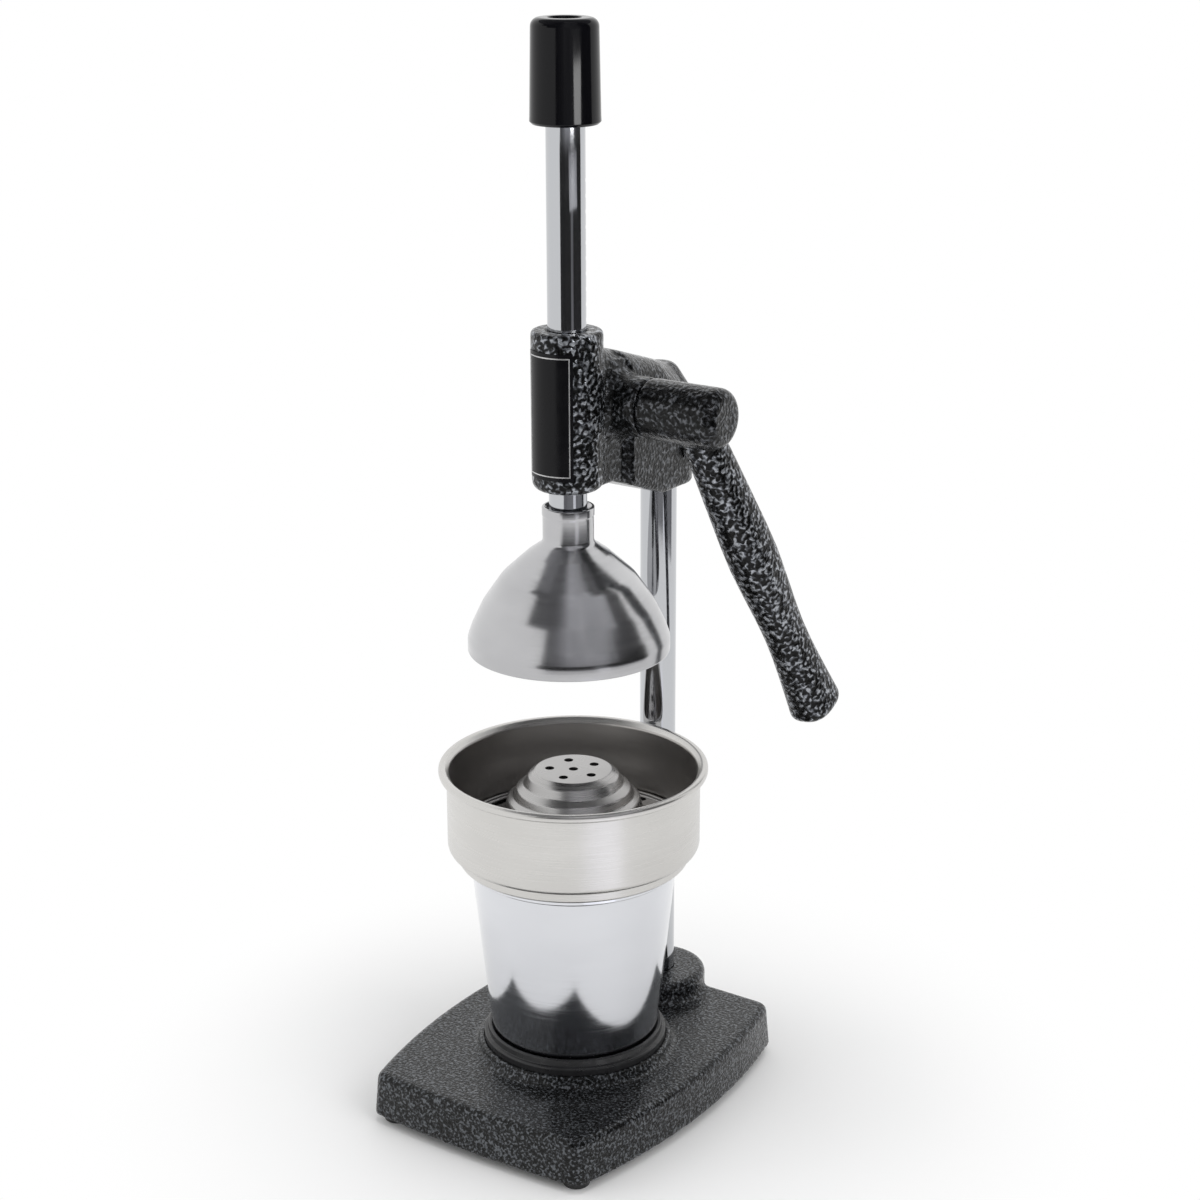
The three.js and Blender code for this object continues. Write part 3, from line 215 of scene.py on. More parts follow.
# %% [markdown]
# Each finished piece gets a plain name, its finish and smooth shading up to a set angle. It then rides on
# the body that it moves with, and takes the place of the frame's rough version of itself.

# %% A finished piece
def finished(piece, name, finish, slot, body, *nodes, angle=32):
    """Names a piece, gives it its finish and lets it ride on a body in place of frame nodes."""
    piece.name = name
    only(piece)
    bpy.ops.object.transform_apply(location=True, rotation=True, scale=True)
    piece.data.materials.clear()
    piece.data.materials.append(finish)
    bpy.ops.object.shade_smooth_by_angle(angle=math.radians(angle))
    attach(piece, body)
    if nodes:
        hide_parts(*nodes)
    print(name, len(piece.data.polygons), "faces")
    return piece


# %% [markdown]
# Every finish is a Principled shader with a small web of texture nodes in front of it. The nodes read
# Object coordinates, which are metres here, so a texture's scale says how many waves there are in a
# metre: 450 gives a grain of a little over two millimetres. A painted image could do the same, but it
# would first need every piece to be unwrapped.

# %% Helpers for finishes
def new_finish(name, color, metallic, roughness, **sockets):
    """A material whose Principled shader has these values, with its node tree at hand."""
    material = bpy.data.materials.new(name)
    material.use_nodes = True
    shader = material.node_tree.nodes["Principled BSDF"]
    shader.inputs["Base Color"].default_value = (*color, 1)
    shader.inputs["Metallic"].default_value = metallic
    shader.inputs["Roughness"].default_value = roughness
    for socket, value in sockets.items():
        shader.inputs[socket.replace("_", " ")].default_value = value
    return material, material.node_tree, shader


def grain(tree, scale, stretch=(1, 1, 1), detail=3, distortion=0, roughness=0.5):
    """A noise texture on Object coordinates, stretched along the axes."""
    place = tree.nodes.new("ShaderNodeTexCoord")
    mapping = tree.nodes.new("ShaderNodeMapping")
    mapping.inputs["Scale"].default_value = stretch
    noise = tree.nodes.new("ShaderNodeTexNoise")
    noise.inputs["Scale"].default_value = scale
    noise.inputs["Detail"].default_value = detail
    noise.inputs["Distortion"].default_value = distortion
    noise.inputs["Roughness"].default_value = roughness
    tree.links.new(place.outputs["Object"], mapping.inputs["Vector"])
    tree.links.new(mapping.outputs["Vector"], noise.inputs["Vector"])
    return noise.outputs["Fac"]


def ramp(tree, value, *stops):
    """A colour ramp over a value, from stops (place, grey or colour)."""
    node = tree.nodes.new("ShaderNodeValToRGB")
    elements = node.color_ramp.elements
    while len(elements) < len(stops):
        elements.new(0.5)
    for element, (place, color) in zip(elements, stops):
        element.position = place
        element.color = (color, color, color, 1) if isinstance(color, (int, float)) else (*color, 1)
    tree.links.new(value, node.inputs["Fac"])
    return node.outputs["Color"]


def bump(tree, shader, height, depth, strength=1.0):
    """Relief of this depth, in millimetres, from a height value."""
    node = tree.nodes.new("ShaderNodeBump")
    node.inputs["Strength"].default_value = strength
    node.inputs["Distance"].default_value = depth * MM
    tree.links.new(height, node.inputs["Height"])
    tree.links.new(node.outputs["Normal"], shader.inputs["Normal"])


# %% [markdown]
# Hammered enamel is a dark metallic paint that draws itself together as it dries, into light worms of
# aluminium flake between black gaps, under a clear gloss. One distorted noise makes the colour and the
# relief together, so that they line up as they do in the real paint, and the shader's coat is the gloss.
# The paint is used in three ways here: bold on the arm and the front boss; a darker copy on the gearbox
# behind the boss and on the hub, which is painted shade; and finer and fainter on the flat base.

# %% Hammered enamel
def enamel(name, worms_per_metre, relief, gloss, *stops):
    """Worms of flake between dark gaps under a clear coat, with a relief in millimetres."""
    gap_roughness, flake_roughness = 0.3, 0.17
    material, tree, shader = new_finish(
        name, (0.05, 0.055, 0.06), 0.6, gap_roughness,
        Specular_IOR_Level=0.25, Coat_Weight=gloss, Coat_Roughness=0.14)
    worms = grain(tree, worms_per_metre, detail=0.5, distortion=0.5)
    tree.links.new(ramp(tree, worms, *stops), shader.inputs["Base Color"])
    tree.links.new(
        ramp(tree, worms, (0.4, gap_roughness), (0.6, flake_roughness)), shader.inputs["Roughness"])
    bump(tree, shader, worms, relief)
    return material


hammered = enamel(
    "hammered enamel", 550, 0.8, 0.15,
    (0.38, 0.002), (0.48, 0.01), (0.56, (0.075, 0.08, 0.09)), (0.68, (0.34, 0.355, 0.38)))
# A darker copy of the same paint, used as painted shade on the gearbox and the hub.
painted_shade_enamel = enamel(
    "hammered enamel with painted shade", 620, 0.5, 0.2,
    (0.36, 0.001), (0.48, 0.007), (0.58, (0.026, 0.028, 0.031)), (0.7, (0.11, 0.115, 0.125)))
fine_hammered = enamel(
    "fine hammered enamel", 880, 0.45, 0.22,
    (0.36, 0.004), (0.48, 0.014), (0.56, (0.032, 0.035, 0.039)), (0.66, (0.11, 0.117, 0.127)))
print("enamels:", hammered.name, "/", painted_shade_enamel.name, "/", fine_hammered.name)

# %% [markdown]
# Chrome plate is nearly a mirror. What keeps it from looking like a drawing is a very faint waviness of
# the bar under the plate and a slightly uneven gloss. Machined steel is duller and shows fine tool marks,
# and bearing bronze is warm and matt. One roughness for each would do from far away, but noise in the
# colour and the relief still looks right in a close view.

# %% Chrome, steel and bronze
chrome, tree, shader = new_finish("chrome plate", (0.53, 0.54, 0.56), 1, 0.06)
tree.links.new(ramp(tree, grain(tree, 60), (0.3, 0.045), (0.7, 0.1)), shader.inputs["Roughness"])
bump(tree, shader, grain(tree, 40, (1, 1, 0.3)), 0.05, 0.15)

machined_steel, tree, shader = new_finish("machined steel", (0.62, 0.63, 0.65), 0.75, 0.32)
tree.links.new(
    ramp(tree, grain(tree, 300, (1, 1, 6)), (0.3, (0.36, 0.37, 0.39)), (0.7, (0.58, 0.59, 0.61))),
    shader.inputs["Base Color"])
bump(tree, shader, grain(tree, 900, (1, 1, 8)), 0.04, 0.3)

bearing_bronze, tree, shader = new_finish("bearing bronze", (0.5, 0.33, 0.14), 1, 0.38)
tree.links.new(
    ramp(tree, grain(tree, 500), (0.3, (0.38, 0.24, 0.09)), (0.7, (0.58, 0.4, 0.18))),
    shader.inputs["Base Color"])
print("metals:", chrome.name, "/", machined_steel.name, "/", bearing_bronze.name)

# %% [markdown]
# The bell and the reamer are cast aluminium that was polished while it turned, so their scratches run
# round the axis. Noise that is squeezed along Z gives such rings on any shape that stands upright. The
# sheet metal of the bowl and cup is brushed in the same direction, and the cup is the brighter of the two.

# %% Polished and brushed metals
def ringed_metal(name, color, dark, roughness, rings, depth):
    """A bright metal with fine rings round the upright axis, uneven in colour and gloss."""
    material, tree, shader = new_finish(name, color, 1, roughness)
    tree.links.new(
        ramp(tree, grain(tree, 14, (1, 1, 2.5)), (0.3, dark), (0.68, color)), shader.inputs["Base Color"])
    lines = grain(tree, rings, (0.012, 0.012, 1), detail=4, roughness=0.7)
    tree.links.new(
        ramp(tree, lines, (0.25, max(roughness - 0.07, 0.02)), (0.75, roughness + 0.08)),
        shader.inputs["Roughness"])
    bump(tree, shader, lines, depth, 0.35)
    return material


polished_aluminium = ringed_metal(
    "polished aluminium", (0.57, 0.57, 0.58), (0.47, 0.47, 0.48), 0.19, 1800, 0.02)
satin_aluminium = ringed_metal("satin aluminium", (0.5, 0.495, 0.49), (0.4, 0.39, 0.385), 0.28, 1500, 0.04)
brushed_stainless = ringed_metal(
    "brushed stainless", (0.68, 0.67, 0.65), (0.6, 0.59, 0.57), 0.3, 2600, 0.03)
# A darker and slightly rougher copy for the bowl's inside; its darker colour is painted shade.
painted_shade_stainless = ringed_metal(
    "stainless with painted shade", (0.52, 0.505, 0.49), (0.42, 0.405, 0.39), 0.34, 2600, 0.03)
bright_stainless = ringed_metal(
    "bright stainless", (0.74, 0.75, 0.78), (0.68, 0.69, 0.72), 0.12, 2200, 0.015)
print("ringed metals:", polished_aluminium.name, "/", satin_aluminium.name, "/", brushed_stainless.name,
      "/", painted_shade_stainless.name, "/", bright_stainless.name)

# %% [markdown]
# The grip cap is a glossy black moulding, the feet and the seat are rubber, and the label is a painted
# plate. All three are black, so it is their gloss that tells them apart. Flat values would make them look
# like one plastic, so noise makes each gloss uneven in its own way.

# %% Moulded plastic, rubber and the label plate
glossy_plastic, tree, shader = new_finish(
    "glossy plastic", (0.002, 0.002, 0.003), 0, 0.1, Specular_IOR_Level=0.24)
tree.links.new(ramp(tree, grain(tree, 90), (0.3, 0.07), (0.7, 0.16)), shader.inputs["Roughness"])
bump(tree, shader, grain(tree, 55), 0.12, 0.12)

smooth_rubber, tree, shader = new_finish("smooth rubber", (0.012, 0.012, 0.013), 0, 0.3)
tree.links.new(ramp(tree, grain(tree, 250), (0.3, 0.22), (0.7, 0.42)), shader.inputs["Roughness"])
bump(tree, shader, grain(tree, 700), 0.04, 0.3)

plate_black, tree, shader = new_finish(
    "black plate", (0.004, 0.004, 0.005), 0, 0.24, Specular_IOR_Level=0.2)
tree.links.new(ramp(tree, grain(tree, 160), (0.3, 0.18), (0.7, 0.3)), shader.inputs["Roughness"])

plate_line, tree, shader = new_finish("plate line", (0.6, 0.6, 0.6), 0.8, 0.35)
tree.links.new(
    ramp(tree, grain(tree, 400), (0.3, 0.42), (0.7, 0.66)), shader.inputs["Base Color"])
print("blacks and the label's line:", glossy_plastic.name, "/", smooth_rubber.name, "/",
      plate_black.name, "/", plate_line.name)

# %% [markdown]
# Two pieces get a darker copy of their finish on part of their faces, as painted shade: the head and the
# lever behind the front boss and on the hub, and the bowl inside, where its own wall shades it; the
# bowl's inside is a little rougher too. Each is still one piece, so it isn't cut in two: a second
# material goes on those faces that pass a test of their place and their normal.

# %% A second finish on part of a piece
def refinished(piece, finish, test):
    """Gives another finish to the faces whose centre and normal pass a test."""
    piece.data.materials.append(finish)
    count = 0
    for face in piece.data.polygons:
        if test(face.center, face.normal):
            face.material_index = 1
            count += 1
    print(piece.name, count, "faces in", finish.name)


# %% [markdown]
# ## Base
# The base is one casting. Seen from above it has three bowed sides and rounded corners, and it is hollow
# underneath, with two crossed ribs and a boss over each foot. The outline is extruded, its top edge is
# bevelled, and the hollow is an inset that is pushed up. A box with a Subdivision Surface could give a
# similar outline, but a drawn one puts each bow at its exact place.

# %% Base outline
base_top = 23.7
base_floor = 4
base_aside = -1.8         # the casting's middle is a little left of the plunger's axis


def base_outline():
    """Corners with a fillet, and the points of the bowed sides between them."""
    ends = [(-54.3, -71.3, 2.4, 8), (54.3, -71.3, 10.2, 16), (57, 81.7, 0.4, 2), (-57, 81.7, 10.2, 16)]
    corner_radius = 10
    corners = []
    for (x, y, bow, count), (next_x, next_y, *_) in zip(ends, ends[1:] + ends[:1]):
        chord = Vector((next_x - x, next_y - y))
        normal = Vector((chord.y, -chord.x)).normalized()
        for k in range(count):
            share = k / count
            point = Vector((x, y)) + chord * share + normal * (4 * share * (1 - share) * bow)
            corners.append((point.x, point.y, corner_radius) if k == 0 else (point.x, point.y))
    middle = Vector(((corners[0][0] + corners[1][0]) / 2, (corners[0][1] + corners[1][1]) / 2))
    return rounded([tuple(middle), *corners[1:], corners[0], tuple(middle)])[:-1]


base = slab(
    [at(base_aside + p.x, p.y, base_floor) for p in base_outline()], (0, 0, (base_top - base_floor) * MM))
print("base outline points", len(base.data.vertices) // 2)

# %% [markdown]
# The walls of a casting lean in a little, so that it comes out of its mould. The top face is scaled down
# for that and its edge is bevelled. A Boolean could cut the hollow, but an inset gives a wall that is
# equally thick all round.

# %% Draft, top edge and hollow
def choose_faces(piece, test):
    """Selects in edit mode the faces that pass a test."""
    only(piece)
    bpy.ops.object.mode_set(mode="EDIT")
    bpy.ops.mesh.select_mode(type="FACE")
    bpy.ops.mesh.select_all(action="DESELECT")
    bpy.ops.object.mode_set(mode="OBJECT")
    for face in piece.data.polygons:
        face.select = test(face)
    bpy.ops.object.mode_set(mode="EDIT")


base_centre = at(base_aside, 5.2, base_top)
choose_faces(base, lambda face: face.normal.z > 0.9)
bpy.ops.transform.resize(value=(0.979, 0.983, 1), center_override=base_centre)
bpy.ops.mesh.bevel(offset=2.6 * MM, segments=6, affect="EDGES", clamp_overlap=False)
bpy.ops.object.mode_set(mode="OBJECT")
choose_faces(base, lambda face: face.normal.z < -0.9)
bpy.ops.mesh.inset(thickness=4.5 * MM)
bpy.ops.mesh.extrude_region_move(TRANSFORM_OT_translate={"value": (0, 0, 14.7 * MM)})
bpy.ops.transform.resize(value=(0.98, 0.98, 1), center_override=base_centre)
bpy.ops.object.mode_set(mode="OBJECT")
print("base faces", len(base.data.polygons))

# %% [markdown]
# Two crossed ribs stiffen the hollow. A boss over each foot takes its stem, a tall one holds the column,
# and a low collar keeps the cup's seat in its place. They are boxes and turned shapes. Each joint could
# be bevelled by itself, but as one remeshed skin they all get the same soft corner at once. What repeats,
# such as the four foot bosses, is modelled once and copied, and each copy has its own mesh.

# %% Ribs, bosses and collar, cast on
def copied(piece):
    """A copy with its own mesh, which is left selected and active."""
    only(piece)
    bpy.ops.object.duplicate()
    return bpy.context.object


def repeated(piece, places):
    """A piece that was modelled at the first place, and its copies at the others."""
    pieces = [piece]
    for place in places[1:]:
        pieces.append(copied(piece))
        bpy.ops.transform.translate(value=place - places[0])
        bpy.ops.object.transform_apply(location=True, rotation=True, scale=True)
    return pieces


def block(x0, x1, y0, y1, z0, z1):
    """A box between two corners in millimetres."""
    corners = [(x0, y0), (x1, y0), (x1, y1), (x0, y1)]
    return slab([at(x, y, z0) for x, y in corners], (0, 0, (z1 - z0) * MM))


rib_half, rib_low, rib_top = 2, 7, 21
ribs = [
    block(-rib_half, rib_half, -68, 60, rib_low, rib_top),
    block(-62, 58, cup_back - rib_half, cup_back + rib_half, rib_low, rib_top)]
foot_places = [(-49.5, -62.7), (45.9, -62.7), (-52.2, 72.7), (48.6, 72.7)]
foot_names = ["front_left", "front_right", "back_left", "back_right"]
foot_spots = [at(x, y, 0) for x, y in foot_places]
foot_bosses = repeated(
    turned([(0, base_floor), (6, base_floor), (4.6, rib_top), (0, rib_top)], *foot_places[0], steps=32),
    foot_spots)
tower_radius, tower_top = 22.4, 33
column_boss = turned(
    [(0, base_floor), (tower_radius, base_floor), (tower_radius, 23), (28.4, 23), (28.4, base_top),
     (22.6, 23.9, 5), (tower_radius, tower_top, 3), (0, tower_top)], 0, column_back)
trim = block(-60, 60, 77.8, 110, 22.4, 40)
carved(column_boss, trim)
tower = turned(
    [(0, base_floor), (tower_radius, base_floor), (tower_radius, tower_top, 3), (0, tower_top)],
    0, column_back)
collar = turned(
    [(39.6, 21), (44.6, 21), (43.9, 23.9), (42.6, 25.9), (42.6, 28.1, 1), (39.6, 28.1), (39.6, 21)],
    0, cup_back)
base = cast(base, *ribs, *foot_bosses, column_boss, tower, collar, voxel=0.9, rounds=4)
print("base skin", len(base.data.polygons))

# %% [markdown]
# The seat, the column, its bolt and the stems of the feet each go into a hole. Holes are machined after
# the casting has cooled, so they are cut after the smoothing, and their edges stay sharp.

# %% Holes of the base
seat_hole = turned([(0, 22.5), (40.6, 22.5), (40.6, 40), (0, 40)], 0, cup_back, steps=128)
column_hole = turned([(0, 17), (bore_radius, 17), (bore_radius, 40), (0, 40)], 0, column_back)
bolt_recess = turned(
    [(0, 2), (12, 2), (12, 12), (thread_radius, 12), (thread_radius, 18), (0, 18)], 0, column_back)
stems = repeated(turned([(0, 2), (2.8, 2), (2.8, 9.3), (0, 9.3)], *foot_places[0], steps=24), foot_spots)
base = carved(base, seat_hole, column_hole, bolt_recess, *stems)
finished(base, "press_base", fine_hammered, "hammertone", "stand", "base_casting", angle=38)

# %% [markdown]
# ## Feet and seat
# Each foot is a soft button with a stem that is pressed into the base. All four are alike, so one is
# turned and three are copies.

# %% Rubber feet
feet = repeated(
    turned([(0, 0), (5.6, 0, 1), (6, 3.7, 0.5), (2.5, 3.7), (2.5, 9), (0, 9)], *foot_places[0], steps=40),
    foot_spots)
for foot, place in zip(feet, foot_names):
    finished(foot, f"foot_{place}", smooth_rubber, "black_rubber", "stand", f"rubber_foot_{place}")

# %% [markdown]
# The seat is a stepped rubber ring that the cup stands in. It shows as glossy black steps round the cup's
# foot. Stacked rings could make it, but one turned section has no hidden faces between the steps.

# %% Cup seat
seat = turned(
    [(24, 22.8), (40.3, 22.8, 0.4), (40.3, 31.1, 1.3), (38.7, 31.4, 0.4), (38.4, 34.2, 0.6),
     (37.2, 34.2, 0.6), (33.9, 32.1, 0.8), (24, 32.1, 0.8), (24, 22.8)], 0, cup_back, steps=128)
finished(seat, "cup_seat_ring", smooth_rubber, "black_rubber", "stand", "cup_seat")

# %% [markdown]
# ## Column and its bolt
# The column is a plain chrome bar with a small chamfer at each end and a bore for its bolt. The plunger
# is the same bar, so one function turns both. A bevelled cylinder would look alike, but its bevel would
# have to be measured again for each.

# %% Column
def bar(low, high, y=0):
    """An upright chrome bar between two heights, with a chamfer at both ends."""
    chamfer = 0.8
    return turned(
        [(0, low), (bar_radius - chamfer, low), (bar_radius, low + chamfer), (bar_radius, high - chamfer),
         (bar_radius - chamfer, high), (0, high)], 0, y)


column = bar(17.3, 307.2, column_back)
column = carved(column, turned(
    [(0, 16), (thread_radius, 16), (thread_radius, 37.6), (0, 37.6)], 0, column_back, steps=32))
finished(column, "column_bar", chrome, "chrome", "stand", "column")

# %% [markdown]
# ## Head
# The head is the press's gearbox: an upright boss guides the plunger, a web behind it holds the pinion,
# a barrel on the right carries the lever's shaft, and a block at the back grips the column. Its top
# falls towards the back. One long box could be carved down to it, but each of these shapes is simple by
# itself, and cast as one skin they flow into each other as the real ones do.

# %% Head shapes
head_top_front = 342.8
top_fall = 0.3218         # for each millimetre back
shoulder_radius = 10
web_half, web_low = 11.5, 280
block_half, block_low = 14.7, 267.5
boss_radius, boss_low, boss_top = 14.9, 279.8, 346.8
shaft_radius = 12.7       # of the barrel, and of the lever's hub that continues it
drum_radius = 19.5


def head_section(y, half, low, cut=5.9, drop=5.9, foot=2):
    """Outline of the head's neck at a distance back. Its shoulders are cut in and down, and rounded."""
    top = head_top_front - top_fall * y
    line = rounded([
        (0, low), (half, low, foot), (half, top - drop, shoulder_radius), (half - cut, top, shoulder_radius),
        (cut - half, top, shoulder_radius), (-half, top - drop, shoulder_radius), (-half, low, foot),
        (0, low)], step=8)
    return [at(p.x, y, p.y) for p in line[:-1]]


def skin(sections):
    """A solid between outlines: the hull of two thin slabs."""
    rings = [slab(points, (0, 1e-5, 0)) for points in sections]
    piece = joined(*rings)
    bpy.ops.object.mode_set(mode="EDIT")
    bpy.ops.mesh.select_all(action="SELECT")
    bpy.ops.mesh.convex_hull()
    bpy.ops.object.mode_set(mode="OBJECT")
    return piece


web_front = skin([head_section(0, web_half, web_low), head_section(18, web_half, web_low)])
web_back = skin([head_section(18, web_half, web_low), head_section(28, web_half, 276.4)])
block_front = skin([head_section(22.5, 11.2, 279), head_section(27, block_half, 277)])
block_middle = skin([head_section(27, block_half, 276.7), head_section(52, block_half, block_low)])
block_back = skin([
    head_section(52, block_half, block_low), head_section(column_back, block_half, block_low, 8.2, 12.9)])
block_end = turned(
    [(0, block_low), (block_half, block_low, 1.6), (block_half, 307.7, shoulder_radius),
     (6.5, 320.6, shoulder_radius), (0, 320.6)], 0, column_back)
front_boss = turned([(0, boss_low), (boss_radius, boss_low, 4), (boss_radius, boss_top, 1.6), (0, boss_top)])
root_radius = 6           # hollow rounding where the barrel leaves the web
root_curve = [
    (web_half + root_radius * (1 - math.cos(turn)), shaft_radius + root_radius * (1 - math.sin(turn)))
    for turn in [math.radians(15 * k) for k in range(7)]]
barrel = turned_sideways(
    [(0, 0), (0, shaft_radius + root_radius), *root_curve, (27, shaft_radius, 0.8), (27, 0)])
drum = turned_sideways([(-block_half, 0), (-block_half, drum_radius, 0.8), (0, drum_radius), (0, 0)])
print("head shapes", len(web_front.data.polygons), len(block_middle.data.polygons),
      len(front_boss.data.polygons), len(barrel.data.polygons), "faces and more")

# %% [markdown]
# Three ears take the cover's screws. The head and the cover have the same ears, so that their edges line
# up, and one function draws them for both: a round end, and an arm that reaches it from the middle.

# %% Lugs of the cover, on the head and on the cover
lug_turns = [-15, -62, -118]
lug_reach = 23.7
lug_radius = 4.6
lug_places = [
    (pinion_back + lug_reach * math.cos(math.radians(turn)),
     pinion_height + lug_reach * math.sin(math.radians(turn))) for turn in lug_turns]
lug_spots = [at(0, y, z) for y, z in lug_places]


def lugs(x0, x1):
    """A round-ended arm for each cover screw, from one x to another."""
    arms = []
    for y, z in lug_places:
        ear = turned_sideways(
            [(x0, 0), (x0, lug_radius, 0.5), (x1, lug_radius, 0.5), (x1, 0)], y, z, steps=32)
        along = Vector((y - pinion_back, z - pinion_height)).normalized()
        across = Vector((-along.y, along.x)) * lug_radius
        corners = [(pinion_back - across.x, pinion_height - across.y), (y - across.x, z - across.y),
                   (y + across.x, z + across.y), (pinion_back + across.x, pinion_height + across.y)]
        arms += [ear, slab([at(x0, a, b) for a, b in corners], ((x1 - x0) * MM, 0, 0))]
    return arms


print("ears at", [(round(y, 1), round(z, 1)) for y, z in lug_places])

# %% [markdown]
# The shapes become one skin, and then the bores are cut: for the plunger, the pinion with its shaft, the
# column and the screws. They come last because a remesh would round them too. The front boss keeps the
# bold paint, and all that lies further from the plunger's axis gets the darker copy of it, which is
# painted shade.

# %% Head casting
head = cast(front_boss, web_front, web_back, block_front, block_middle, block_back, block_end, barrel,
            drum, *lugs(-block_half, 0), voxel=0.7, rounds=6)
print("head skin", len(head.data.polygons))
clamp_height = 283
rod_bore = turned(
    [(0, 270), (bore_radius, 270), (bore_radius, 346), (9.6, 347.3), (9.6, 350), (0, 350)], steps=64)
pocket = turned_sideways([(-16, 0), (-16, 17.6), (6.8, 17.6), (6.8, 0)])
shaft_bore = turned_sideways([(0, 0), (0, 8), (31, 8), (31, 0)])
column_bore = turned([(0, 260), (bore_radius, 260), (bore_radius, 307.5), (0, 307.5)], 0, column_back)
clamp_bore = turned_sideways([(0, 0), (0, 2.7), (16, 2.7), (16, 0)], column_back, clamp_height, steps=24)
screw_bores = repeated(
    turned_sideways([(-16, 0), (-16, 2.2), (-6.7, 2.2), (-6.7, 0)], *lug_places[0], steps=24), lug_spots)
head = carved(head, rod_bore, pocket, shaft_bore, column_bore, clamp_bore, *screw_bores)
finished(head, "head_body", hammered, "hammertone", "stand", "head_casting", angle=38)
boss_middle = at(0, 0, 0)
bold_reach = (boss_radius + 0.5) * MM
# Faces beyond the boss get the darker copy of the paint: painted shade.
refinished(head, painted_shade_enamel, lambda place, normal: (place - boss_middle).xy.length > bold_reach)

# %% [markdown]
# The cover closes the pinion's pocket on the left. It has the same three ears and a short bearing nose,
# and it is cast in the same way as the head, with a finer skin because it is thin.

# %% Pinion cover
cover_out, cover_in = -17.8, -15
plate = turned_sideways(
    [(cover_out, 0), (cover_out, drum_radius, 0.8), (cover_in, drum_radius, 0.3), (cover_in, 0)])
nose = turned_sideways([(-22, 0), (-22, 9.5, 0.9), (-15.2, 9.5), (-15.2, 0)])
cover = cast(plate, nose, *lugs(cover_out, cover_in), voxel=0.45, rounds=2)
cover_bore = turned_sideways([(-24, 0), (-24, 8), (-10, 8), (-10, 0)])
cover_screw_bores = repeated(
    turned_sideways([(-20, 0), (-20, 2.2), (-12, 2.2), (-12, 0)], *lug_places[0], steps=24), lug_spots)
cover = carved(cover, cover_bore, *cover_screw_bores)
finished(cover, "cover_plate", hammered, "hammertone", "stand", "pinion_cover", angle=38)

# %% [markdown]
# ## Screws
# A slotted pan head is turned, and its slot is a thin block that is carved out. The cover's three screws
# are one blank and its copies. Each gets its slot at another angle, because a screw stops where it is
# tight. A dark line in the paint would be enough for the slot from far away, but not in a close view.

# %% Slotted screws of the cover, and the clamp screw
screw_head_radius = 3.6
slot_half, slot_depth = 0.45, 0.9


def screw_blank(seat, top, shank_radius, tip, place):
    """A pan-headed screw along X without its slot, from its head's seat to its top and to its tip."""
    return turned_sideways(
        [(tip, 0), (tip, shank_radius), (seat, shank_radius), (seat, screw_head_radius, 0.3),
         (top, screw_head_radius, abs(top - seat) * 0.6), (top, 0)], *place, steps=40)


def slotted(piece, top, out, place, turn):
    """The screw with a slot in its top, at an angle. Its head looks along X when out is 1."""
    across = Vector((math.cos(turn), math.sin(turn)))
    side = Vector((-across.y, across.x)) * slot_half
    across *= screw_head_radius * 1.3
    y, z = place
    corners = [across + side, -across + side, -across - side, across - side]
    slot = slab([at(top - out * slot_depth, y + c.x, z + c.y) for c in corners], (out * 3 * MM, 0, 0))
    return carved(piece, slot)


cover_seat, cover_head_top = -18.1, -20.3
blanks = repeated(screw_blank(cover_seat, cover_head_top, 1.9, -7, lug_places[0]), lug_spots)
for i, (blank, place, turn) in enumerate(zip(blanks, lug_places, (0.5, 1.4, 2.3)), 1):
    cover_screw = slotted(blank, cover_head_top, -1, place, turn)
    finished(cover_screw, f"cover_slot_screw_{i}", machined_steel, "steel", "stand", f"cover_screw_{i}")
clamp_place = (column_back, clamp_height)
clamp_screw = slotted(screw_blank(15, 17.4, 2.4, 8.3, clamp_place), 17.4, 1, clamp_place, 0.9)
finished(clamp_screw, "clamp_slot_screw", machined_steel, "steel", "stand", "clamp_screw")

# %% [markdown]
# ## Lever
# The lever is one casting too. Its arm leans outwards, so that the hand passes the bowl, and it hangs a
# little behind straight down. It starts narrow at the hub, swells, has a waist above the hand, and ends
# wide and round. These widths are written down first, each with its place along the arm.

# %% Places and widths along the arm
arm_root = at(47.7, pinion_back, pinion_height)
arm_lean = math.radians(23.75)
arm_reach = 151
arm_tip = at(
    73.7, pinion_back + arm_reach * math.sin(arm_lean), pinion_height - arm_reach * math.cos(arm_lean))
arm_line = arm_tip - arm_root
arm_length = arm_line.length
places = [0, 0.1, 0.15, 0.2, 0.26, 0.32, 0.4, 0.48, 0.53, 0.58, 0.63, 0.68, 0.74, 0.8, 0.87, 0.94, 1]
widths = [0.8, 0.88, 0.92, 0.955, 0.995, 1.03, 1.08, 1.1, 1.07, 1.025, 0.98, 0.935, 0.91, 0.93, 0.995, 1.08,
          1.16]
end_rise = 5.3            # how far the round end stands out
end_width = widths[-1]
for k in range(1, 10):
    turn = math.radians(80) * k / 9
    places.append(1 + end_rise * MM * math.sin(turn) / arm_length)
    widths.append(end_width * math.cos(turn) ** 0.8)
print("arm", round(arm_length / MM, 1), "mm long, with", len(places), "stations")

# %% [markdown]
# The arm is a rounded square ring that is extruded from station to station and scaled at each. A chain of
# boxes with a Subdivision Surface is the common way, but it would smooth the arm away from the widths
# above. The arm is built upright at the origin and is then put in its place with one matrix.

# %% Lever arm
arm_half = 10.3           # half its width where the list says 1
flatness = 0.84           # thickness to width
squareness = 0.8          # a power under 1 pushes the circle towards its corners
ring_points = 48

